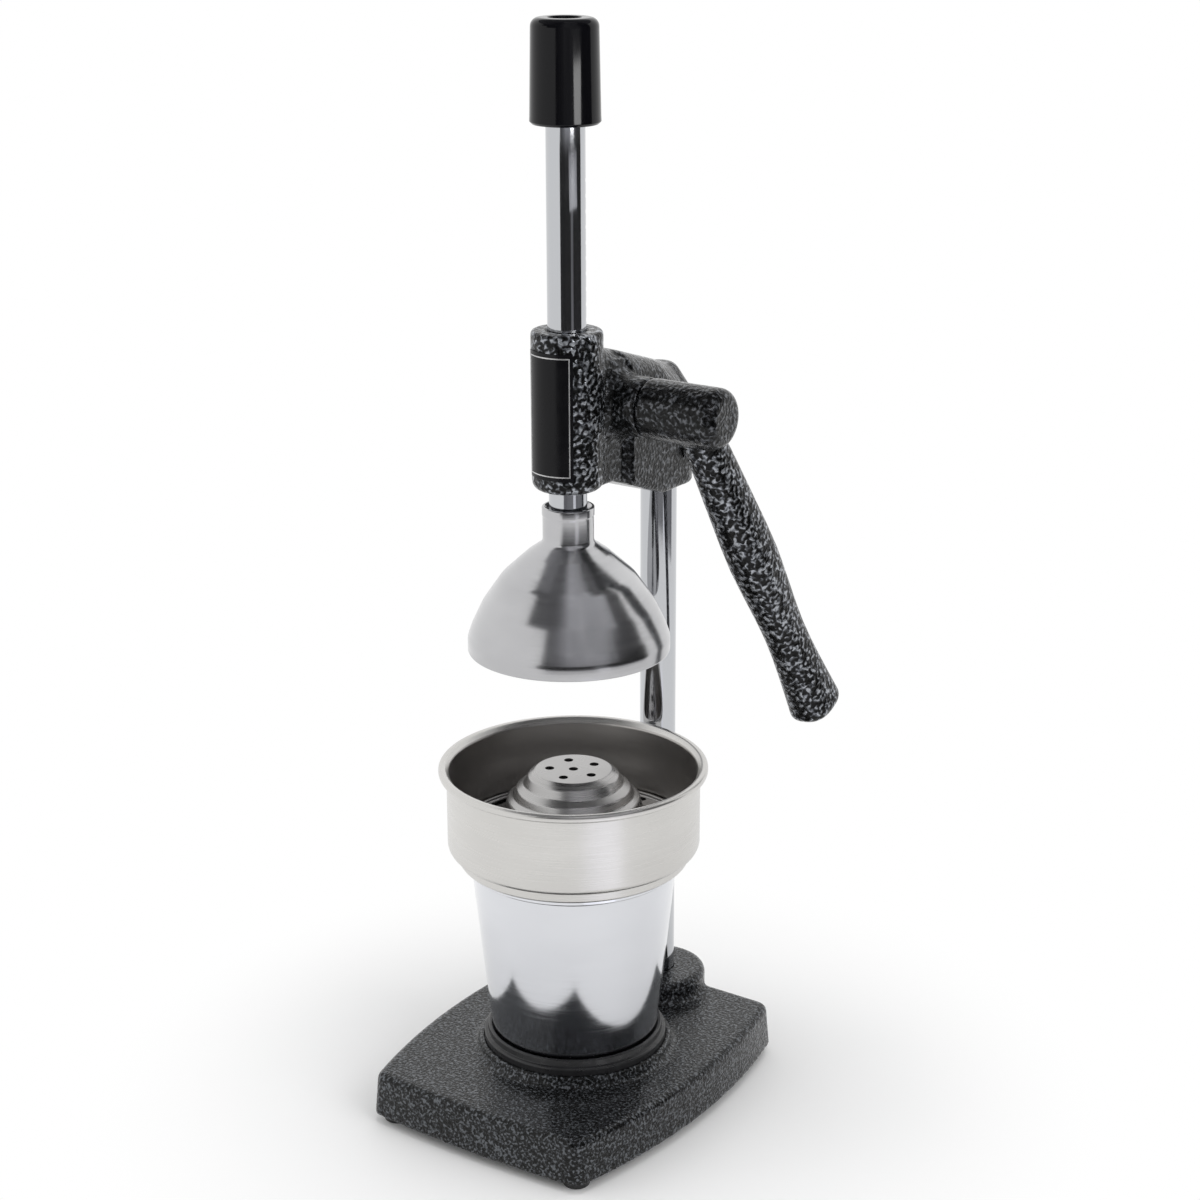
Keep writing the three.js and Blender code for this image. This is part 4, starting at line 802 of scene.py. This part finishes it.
bpy.ops.object.select_all(action="DESELECT")
bpy.ops.mesh.primitive_circle_add(vertices=ring_points, radius=MM, fill_type="NGON")
arm = bpy.context.object
for i, vertex in enumerate(arm.data.vertices):
    turn = 2 * math.pi * i / ring_points
    across, thick = math.cos(turn), math.sin(turn)
    vertex.co = widths[0] * arm_half * MM * Vector((
        math.copysign(abs(across) ** squareness, across),
        flatness * math.copysign(abs(thick) ** squareness, thick), 0))
bpy.ops.object.mode_set(mode="EDIT")
bpy.ops.mesh.select_all(action="SELECT")
for (place, width), (next_place, next_width) in zip(zip(places, widths), list(zip(places, widths))[1:]):
    step = (next_place - place) * arm_length
    share = next_width / width
    bpy.ops.mesh.extrude_region_move(TRANSFORM_OT_translate={"value": (0, 0, step)})
    bpy.ops.transform.resize(value=(share, share, 1), center_override=(0, 0, next_place * arm_length))
bpy.ops.mesh.select_all(action="SELECT")
bpy.ops.mesh.normals_make_consistent(inside=False)
bpy.ops.object.mode_set(mode="OBJECT")

along = arm_line.normalized()
across = Vector((1, 0, 0)).cross(along).normalized()
outward = across.cross(along)
arm.matrix_world = Matrix.Translation(arm_root) @ Matrix((across, outward, along)).transposed().to_4x4()
only(arm)
bpy.ops.object.transform_apply(location=True, rotation=True, scale=True)
print("arm faces", len(arm.data.polygons))

# %% [markdown]
# The hub continues the head's barrel with the same radius, and one narrow seam shows between them. It is
# turned and cast together with the arm, so that the arm grows out of it with a soft corner, and then it
# is bored for the shaft. The hub takes the darker copy of the paint, which is painted shade.

# %% Lever hub
hub = turned_sideways([(27.3, 0), (27.3, shaft_radius, 0.8), (64.2, shaft_radius, 5), (64.2, 0)])
lever = cast(hub, arm, voxel=0.7, rounds=5)
hub_bore = turned_sideways([(26, 0), (26, 6.3), (56, 6.3), (56, 0)])
lever = carved(lever, hub_bore)
finished(lever, "lever_body", hammered, "hammertone", "lever", "lever_arm", angle=38)
hub_middle = at(0, pinion_back, pinion_height)
painted_shade_reach = (shaft_radius + 0.7) * MM
# The hub's faces get the darker copy of the paint: painted shade.
refinished(lever, painted_shade_enamel, lambda place, normal: (place - hub_middle).yz.length < painted_shade_reach)

# %% [markdown]
# ## Plunger
# The plunger is the same chrome bar with a rack milled into its back. The rack is a flat at the tips of
# the teeth and a row of straight-sided spaces. One space is modelled, repeated with an Array modifier and
# carved out in one cut. Teeth could be added to a flat instead, but a cutter leaves each tooth with the
# bar's own round sides, as milling does.

# %% Rod with its rack
rod = bar(256.3, 457.6)
tooth_pitch = math.pi * 2
tip_depth, root_depth = 7.3, 3.1   # of the teeth, behind the rod's axis
middle_depth = 5.5
teeth_below, teeth_above = 3.5, 15.5
past = 9                  # a cutter reaches this far, past the rod's skin
rack_low = pinion_height - teeth_below * tooth_pitch
rack_high = pinion_height + teeth_above * tooth_pitch
run_out = past - tip_depth
flat_line = [
    (tip_depth, rack_low), (past, rack_low - run_out), (past, rack_high + run_out), (tip_depth, rack_high)]
flat = slab([at(-past, y, z) for y, z in flat_line], (2 * past * MM, 0, 0))


def space_half(depth):
    """Half the width of a tooth space at a distance behind the rod's axis."""
    return (tooth_pitch + 0.5) / 4 + (depth - middle_depth) * math.tan(math.radians(25))


first = pinion_height - 3 * tooth_pitch
space_line = [
    (root_depth, first - space_half(root_depth)), (past, first - space_half(past)),
    (past, first + space_half(past)), (root_depth, first + space_half(root_depth))]
spaces = slab([at(-past, y, z) for y, z in space_line], (2 * past * MM, 0, 0))
space_count = round(teeth_below + teeth_above)
applied(spaces, "ARRAY", count=space_count, use_relative_offset=False, use_constant_offset=True,
        constant_offset_displace=(0, 0, tooth_pitch * MM))
print("tooth spaces", space_count, "pitch", round(tooth_pitch, 3), "mm")
rod = carved(rod, flat, spaces)
finished(rod, "rod_with_rack", chrome, "chrome", "plunger", "plunger_rod")

# %% [markdown]
# The cap on top of the rod is a plastic moulding with a soft edge and a sunk hole, and a slotted screw in
# that hole holds it. Both are turned. The edge could be a Bevel modifier, but here it is a corner of the
# line with a wide fillet, so its radius can be read with the others.

# %% Grip cap and its screw
cap = turned(
    [(0, 429.9), (13.4, 429.9), (14.4, 430.9, 0.6), (14.3, 433, 0.8), (13.6, 471.3, 6.2), (6.6, 471.3, 0.7),
     (6.4, 465.3, 0.5), (2.5, 465.3), (2.5, 456), (0, 456)])
cap_bore = turned([(0, 425), (bore_radius, 425), (bore_radius, 457.9), (0, 457.9)], steps=64)
cap = carved(cap, cap_bore)
finished(cap, "grip_cap_moulding", glossy_plastic, "black_plastic", "plunger", "grip_cap")
cap_screw_top = 468.2
cap_screw = turned(
    [(0, 445.6), (2.2, 445.6), (2.2, 465.6), (4.6, 465.6, 0.3), (4.4, cap_screw_top, 1.2),
     (0, cap_screw_top)], steps=40)
cap_slot = block(-5, 5, -slot_half, slot_half, cap_screw_top - slot_depth, 470)
cap_screw = carved(cap_screw, cap_slot)
finished(cap_screw, "cap_slot_screw", machined_steel, "steel", "plunger", "cap_screw")

# %% [markdown]
# ## Press bell
# The bell is turned from a casting: a neck that is bored for the rod, a dome with a soft S-shaped
# shoulder and an open mouth with a thin rim. Its curve is a chain of corners with wide fillets. A sphere
# that is pulled into shape would need as many changes, and its wall would not be even. The bore and the
# screw's hole are cut last.

# %% Bell
bell = turned(
    [(0, 272.3), (8.3, 272.3), (9.9, 272.3, 0.2), (11, 272.3, 0.8), (11, 268.8, 0.3), (10.75, 268.2, 0.3),
     (10.75, 257, 3), (17.5, 252.2, 7), (28.4, 242.1, 16), (36.4, 230.4, 22), (41, 220.6, 18),
     (42.7, 215.6, 6), (42.7, 210.4, 0.4), (42.5, 209.9, 0.3), (39.9, 209.9, 0.4), (39.6, 213, 8),
     (37.6, 221, 20), (33.2, 229.8, 20), (25.6, 240, 14), (20, 246.5, 6), (14, 249, 3), (0, 249)],
    steps=128)
neck_bore = turned(
    [(0, 256), (bore_radius, 256), (bore_radius, 270.7), (9.9, 272.3), (9.9, 275), (0, 275)], steps=64)
bell_screw_bore = turned([(0, 240), (thread_radius, 240), (thread_radius, 258), (0, 258)], steps=32)
bell = carved(bell, neck_bore, bell_screw_bore)
finished(bell, "bell", polished_aluminium, "cast_aluminium", "plunger", "press_bell")

# %% [markdown]
# ## Cup
# The cup is drawn sheet with a rolled bead at its mouth and a rounded foot. A tube with a Solidify
# modifier would give an even wall too, but one closed line, down the outside and up the inside, also
# draws the bead and both corners of the foot. So the bowl below is turned in the same way.

# %% Juice cup
cup = turned(
    [(0, 32.4), (36.4, 32.4, 5), (44.6, 110.4, 1), (46.8, 111.1, 0.8), (46.8, 113.4, 1), (43.5, 113.4, 0.7),
     (35.2, 33.8, 3.6), (0, 33.8)], 0, cup_back, steps=144)
finished(cup, "cup_shell", bright_stainless, "stainless", "cup", "juice_cup")

# %% [markdown]
# ## Strainer bowl
# The bowl is pressed from sheet in three steps: a collar that enters the cup, a low band that stands on
# the cup's mouth, and the tall wall with its curled rim. The reamer's flange rests on the inner ledge.
# Three cylinders would leave seams between the steps, so the whole wall is one closed line, turned. The
# inside gets a slightly rougher finish than the outside and a darker colour, which is painted shade.

# %% Strainer bowl
bowl = turned(
    [(39.5, 105.7), (41.5, 105.7, 0.6), (42.2, 113.7, 0.4), (50.2, 113.7, 1.4), (50.2, 118.4, 1.2),
     (54.6, 119.6, 5), (54.6, 152.6, 0.8), (56, 152.6, 0.6), (58, 153.4, 1.4), (58, 156.4, 1.5),
     (55.4, 156.4, 1.5), (53.4, 154, 2), (53.4, 121, 4), (49, 119.7, 0.8), (49, 115.1, 1), (39.5, 115.1, 0.6),
     (39.5, 105.7)],
    0, cup_back, steps=160)
finished(bowl, "bowl_shell", brushed_stainless, "stainless", "strainer", "strainer_bowl")
bowl_middle = at(0, cup_back, 0)
# The bowl's inside gets the darker copy: painted shade, and a little rougher.
refinished(bowl, painted_shade_stainless, lambda place, normal: place.z < 154.5 * MM and (
    normal.z > 0.7 or (place - bowl_middle).xy.dot(normal.xy) < 0))

# %% [markdown]
# ## Reamer
# The reamer rises in rounded rings to a flat top, and a flat flange runs round its foot. A stack of
# bevelled discs could stand for the rings, but the real one is a thin shell, so one line is turned that
# goes down the outside and back up the inside.

# %% Reamer shell
reamer = turned(
    [(0, 153.7), (16.5, 153.7, 0.9), (19.6, 151.3, 2), (21.5, 147.6, 1.6), (24.7, 145.6, 2),
     (26.1, 142.4, 1.5), (28.7, 140.8, 2), (30.7, 132.8, 1.5), (32.5, 130.2, 1), (36.3, 128.8, 1.5),
     (37.6, 123.8, 1), (50.9, 123.8, 0.4), (50.9, 125.2, 0.4), (52.3, 125.2, 0.5), (52.3, 121.4, 0.5),
     (51.6, 120.7), (50.9, 120.7), (50.9, 122.2), (36, 122.2, 1), (34.6, 127.6, 2), (30.8, 129, 1),
     (28.8, 132.4, 2), (26.8, 140, 2), (22.9, 144.5, 2), (19.8, 146.4, 2), (15.5, 152.1, 1), (0, 152.1)],
    0, cup_back, steps=144)
print("reamer shell faces", len(reamer.data.polygons))

# %% [markdown]
# Six drain holes in the top and two rings of slots in the flange let the juice through. One hole is
# turned and copied to the other places. Every slot has its own turn, so it is drawn at its place. All
# cutters of a kind are joined first, because one cut is quicker than many.

# %% Holes and slots of the reamer
hole_circle = 10.3
hole_turns = [math.radians(-7.5 + 72 * i) for i in range(5)]
hole_spots = [at(0, cup_back, 0)] + [
    at(hole_circle * math.cos(turn), cup_back + hole_circle * math.sin(turn), 0) for turn in hole_turns]
holes = repeated(turned([(0, 150), (2, 150), (2, 156), (0, 156)], 0, cup_back, steps=24), hole_spots)
slots_per_ring = 14
slot_end, slot_radius = 4.2, 1.8
slot_points = 16


def ring_slot(circle, turn):
    """A round-ended slot through the flange, on a circle about the cup's axis."""
    line = []
    for k in range(slot_points):
        angle = 2 * math.pi * (k + 0.5) / slot_points
        end = slot_end if math.sin(angle) > 0 else -slot_end
        corner = Vector((circle + slot_radius * math.cos(angle), end + slot_radius * math.sin(angle)))
        point = Matrix.Rotation(turn, 2) @ corner
        line.append(at(point.x, cup_back + point.y, 121))
    return slab(line, (0, 0, 4 * MM))


slots = [
    ring_slot(circle, 2 * math.pi * (i + shift) / slots_per_ring)
    for circle, shift in ((41.6, 0), (47.6, 0.5)) for i in range(slots_per_ring)]
reamer = carved(reamer, joined(*holes), joined(*slots))
finished(reamer, "reamer", satin_aluminium, "cast_aluminium", "reamer", "reamer_cone")

# %% [markdown]
# ## Label plate
# A thin bare black plate is wrapped round the front of the plunger's boss. It could be a picture on the
# boss, but a real plate has an edge that catches light, so it is a strip of small facets on the boss's
# radius that a Solidify modifier gives a thickness.

# %% Bare label plate
def wrapped(low, high, first_turn, last_turn, radius, thickness):
    """A strip bent round the plunger's axis, from one turn to another in degrees from the front."""
    bpy.ops.object.select_all(action="DESELECT")
    bpy.ops.mesh.primitive_grid_add(x_subdivisions=48, y_subdivisions=1, size=1)
    piece = bpy.context.object
    for vertex in piece.data.vertices:
        turn = math.radians(first_turn + (vertex.co.x + 0.5) * (last_turn - first_turn) - 90)
        height = low + (vertex.co.y + 0.5) * (high - low)
        vertex.co = at(radius * math.cos(turn), radius * math.sin(turn), height)
    return applied(piece, "SOLIDIFY", thickness=thickness * MM, offset=-1)


plate_radius = boss_radius + 0.3
label = wrapped(286.5, 339.5, -44, 44, plate_radius, 0.45)
finished(label, "label_plate", plate_black, "hammertone", "stand")

# %% [markdown]
# A fine pale line runs inside the plate's edge. It is four more wrapped strips, a hair above the plate,
# so that the two never lie in the same place and flicker.

# %% Pale frame line of the label
line_radius, line_rise = plate_radius + 0.08, 0.1
line_low, line_high, line_height = 288.1, 337.9, 0.5
line_turn, line_inner_turn = 39, 37.2
line_parts = [
    wrapped(low, high, start, end, line_radius, line_rise) for low, high, start, end in (
        (line_low, line_low + line_height, -line_turn, line_turn),
        (line_high - line_height, line_high, -line_turn, line_turn),
        (line_low, line_high, -line_turn, -line_inner_turn),
        (line_low, line_high, line_inner_turn, line_turn))]
finished(joined(*line_parts), "label_frame_line", plate_line, "hammertone", "stand")

# %% [markdown]
# ## Frame pieces that stay
# The column's bolt, the washers, the bell's screw, the bushes, the pinion and its shaft with the key and
# the grub screw keep their frame shapes, and only need a finish. They could be modelled again too, but
# nearly all of them are hidden in the press, and their frame shapes are already plain and right.

# %% Finishes of the frame's own pieces
kept = {
    machined_steel: ["column_bolt", "column_washer", "pinion_shaft", "drive_pinion", "shaft_key",
                     "lever_grub_screw", "bell_washer", "bell_screw"],
    bearing_bronze: ["left_bush", "right_bush"],
}
for finish, nodes in kept.items():
    for node in nodes:
        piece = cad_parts[node]
        piece.data.materials.clear()
        piece.data.materials.append(finish)
    print(finish.name, "on", len(nodes), "frame pieces")

# %% [markdown]
# ## Floor, light and camera
# A pale floor stands under the press. Near it the floor shows the lamps' shadow, and further away it
# fades to plain white, so that no edge or horizon shows. A bigger lamp could whiten it too, but that
# would bleach the press. So the white is a glow that only the camera and the mirrors see.

# %% Floor
def looked_at(tree):
    """One where a surface is seen by the camera, in a mirror or through glass, and zero for other light."""
    light_path = tree.nodes.new("ShaderNodeLightPath")
    seen = light_path.outputs["Is Camera Ray"]
    for ray in ("Is Glossy Ray", "Is Transmission Ray"):
        either = tree.nodes.new("ShaderNodeMath")
        either.operation = "MAXIMUM"
        tree.links.new(seen, either.inputs[0])
        tree.links.new(light_path.outputs[ray], either.inputs[1])
        seen = either.outputs["Value"]
    return seen


plain_within, white_beyond = 0.08, 0.23

bpy.ops.object.select_all(action="DESELECT")
bpy.ops.mesh.primitive_plane_add(size=8, location=(0, 0, 0))
floor = bpy.context.object
floor.name = "floor"
floor_finish, tree, shader = new_finish("pale floor", (0.9, 0.9, 0.9), 0, 0.6)
tree.links.new(ramp(tree, grain(tree, 3), (0.3, 0.88), (0.7, 0.93)), shader.inputs["Base Color"])
place = tree.nodes.new("ShaderNodeTexCoord")
distance = tree.nodes.new("ShaderNodeVectorMath")
distance.operation = "LENGTH"
tree.links.new(place.outputs["Object"], distance.inputs[0])
away = tree.nodes.new("ShaderNodeMapRange")
away.interpolation_type = "SMOOTHSTEP"
away.inputs["From Min"].default_value = plain_within
away.inputs["From Max"].default_value = white_beyond
tree.links.new(distance.outputs["Value"], away.inputs["Value"])
white = tree.nodes.new("ShaderNodeEmission")
white.inputs["Color"].default_value = (1, 1, 1, 1)
shown = tree.nodes.new("ShaderNodeMath")
shown.operation = "MULTIPLY"
tree.links.new(away.outputs["Result"], shown.inputs[0])
tree.links.new(looked_at(tree), shown.inputs[1])
blend = tree.nodes.new("ShaderNodeMixShader")
tree.links.new(shown.outputs["Value"], blend.inputs["Fac"])
tree.links.new(shader.outputs["BSDF"], blend.inputs[1])
tree.links.new(white.outputs["Emission"], blend.inputs[2])
tree.links.new(blend.outputs["Shader"], tree.nodes["Material Output"].inputs["Surface"])
floor.data.materials.append(floor_finish)
print("floor", tuple(round(side, 2) for side in floor.dimensions))

# %% [markdown]
# The world is white where it is looked at or mirrored, and dimmer where it only lights the press. A
# picture of a room would light it too, but the press stands against plain white.

# %% World
world = bpy.data.worlds.new("studio")
bpy.context.scene.world = world
world.use_nodes = True
tree = world.node_tree
back = tree.nodes["Background"]
back.inputs["Color"].default_value = (1, 1, 1, 1)
level = tree.nodes.new("ShaderNodeMapRange")
level.inputs["To Min"].default_value = 0.55
level.inputs["To Max"].default_value = 1.0
tree.links.new(looked_at(tree), level.inputs["Value"])
tree.links.new(level.outputs["Result"], back.inputs["Strength"])
print("world light", level.inputs["To Min"].default_value, "and", level.inputs["To Max"].default_value)

# %% [markdown]
# Soft lamps stand left, right and above the press. They light it but don't show in its mirrors, because
# three white squares in each bright piece would look like a drawing. One small lamp near the press does
# the opposite: only mirrors see it, and it draws the streak on the cap and on the top of the bar.

# %% Lamps
target = Vector((0, 0, 0.22))


def facing(place):
    """Rotation that turns a lamp at a place towards the press."""
    return (target - Vector(place)).to_track_quat("-Z", "Y").to_euler()


def lamp(name, place, width, height, power, mirrored=False):
    """A soft lamp that lights matt surfaces, or else one that shows up only in mirrors."""
    data = bpy.data.lights.new(name, "AREA")
    data.shape = "RECTANGLE"
    data.size, data.size_y, data.energy = width, height, power
    piece = bpy.data.objects.new(name, data)
    bpy.context.scene.collection.objects.link(piece)
    piece.location, piece.rotation_euler = place, facing(place)
    piece.visible_camera, piece.visible_glossy = False, mirrored
    piece.visible_diffuse = not mirrored
    print(name, power, "W")


lamp("lamp_left", (-1.3, -1.2, 0.95), 1.8, 1.8, 10)
lamp("lamp_right", (1.5, -0.3, 1.1), 1.2, 1.2, 12)
lamp("lamp_top", (0.1, 0.2, 1.5), 1.2, 1.2, 6)
lamp("lamp_strip", (0.232, -0.079, 0.424), 0.1, 0.075, 0.24, mirrored=True)

# %% [markdown]
# Polished metal only looks like metal when it has something dark to mirror. So dark and grey cards stand
# round the press on the right, outside the picture and seen by reflections alone. Black boxes could do
# it, but a spun screen keeps the same distance all round, and each strip of it has its own grey. The
# card named shade hides the small lamp from the bell, and the gleams are brighter strips.

# %% Cards round the press
arc_parts = 12


def arc(low, high, reach=0.75):
    """Places of a screen's section on a circle round the origin, between two heights in degrees."""
    heights = [math.radians(low + (high - low) * k / arc_parts) for k in range(arc_parts + 1)]
    return [Vector((0, -reach * math.cos(h), reach * math.sin(h))) for h in heights]


def card(name, first_turn, last_turn, glow, line):
    """A screen round the press that only mirrors see. Its turns are degrees from the front."""
    line = [Matrix.Rotation(math.radians(first_turn), 3, "Z") @ point for point in line]
    bpy.ops.object.select_all(action="DESELECT")
    bpy.ops.mesh.primitive_plane_add(size=MM)
    piece = bpy.context.object
    piece.name = name
    bpy.ops.object.mode_set(mode="EDIT")
    bpy.ops.mesh.select_mode(type="VERT")
    bpy.ops.mesh.merge(type="CENTER")
    bpy.ops.transform.translate(value=line[0])
    for begin, end in zip(line, line[1:]):
        bpy.ops.mesh.extrude_vertices_move(TRANSFORM_OT_translate={"value": end - begin})
    bpy.ops.mesh.select_all(action="SELECT")
    bpy.ops.mesh.spin(steps=24, angle=math.radians(first_turn - last_turn), center=(0, 0, 0), axis=(0, 0, 1))
    bpy.ops.object.mode_set(mode="OBJECT")
    finish, tree, shader = new_finish(name, (0.01, 0.01, 0.01), 0, 0.9)
    cool = (glow, glow, glow * 1.06)
    tree.links.new(
        ramp(tree, grain(tree, 5), (0.35, [0.7 * c for c in cool]), (0.65, [1.3 * c for c in cool])),
        shader.inputs["Emission Color"])
    shader.inputs["Emission Strength"].default_value = 1
    piece.visible_camera = piece.visible_diffuse = piece.visible_shadow = False
    piece.data.materials.append(finish)
    print(name, "from", first_turn, "to", last_turn, "degrees")


card("card_foot", 8, 128, 0.2, arc(0.5, 7))
card("card_low", 0, 130, 0.01, arc(7, 26.5))
card("card_front", 4, 14, 0.09, arc(26.5, 48))
card("card_high", -28, 14, 0.09, arc(48, 58))
card("card_top", -50, 14, 0.09, arc(58, 88))
card("card_side_1", 14, 22, 0.16, arc(26.5, 88))
card("card_side_2", 22, 30, 0.28, arc(26.5, 88))
card("card_middle", 30, 80, 0.42, arc(26.5, 88))
card("card_side_3", 80, 90, 0.22, arc(26.5, 88))
card("card_right", 90, 128, 0.05, arc(26.5, 78))
card("card_shade", 50, 98, 0.4, [Vector((0, -0.13, 0.376)), Vector((0, -0.31, 0.376))])
card("card_over", 100, 340, 0.2, arc(66, 90))
card("card_gleam", 61, 75, 0.18, arc(7, 25, reach=0.74))
card("card_foot_gleam", 66, 80, 1.1, arc(0.5, 7, reach=0.74))
card("card_floor_gleam", 42, 74, 1.12, [Vector((0, -0.2, 0.003)), Vector((0, -0.45, 0.003))])

# %% [markdown]
# The camera looks down a little from the front right. It could be aimed at the press with a constraint,
# but the picture's exact view also has a turn about its own axis and a shift of the lens. So its right
# and forward directions are given, and the third one follows from them.

# %% Camera
camera_data = bpy.data.cameras.new("camera")
camera = bpy.data.objects.new("camera", camera_data)
bpy.context.scene.collection.objects.link(camera)
bpy.context.scene.camera = camera
camera_data.lens = 73.51
camera_data.sensor_width = 36
camera_data.shift_x = -0.0329
camera_data.shift_y = -0.0397
right = Vector((0.8345, 0.5511, 0.0019)).normalized()
forward = Vector((-0.5262, 0.7968, -0.2972)).normalized()
upward = right.cross(forward).normalized()
camera.matrix_world = Matrix.Translation(at(563.0, -799.3, 556.3)) @ Matrix(
    (right, upward, -forward)).transposed().to_4x4()
camera_data.clip_start, camera_data.clip_end = 0.05, 20
print("camera at", tuple(round(c, 3) for c in camera.matrix_world.translation))

bpy.context.scene.view_settings.view_transform = "Standard"
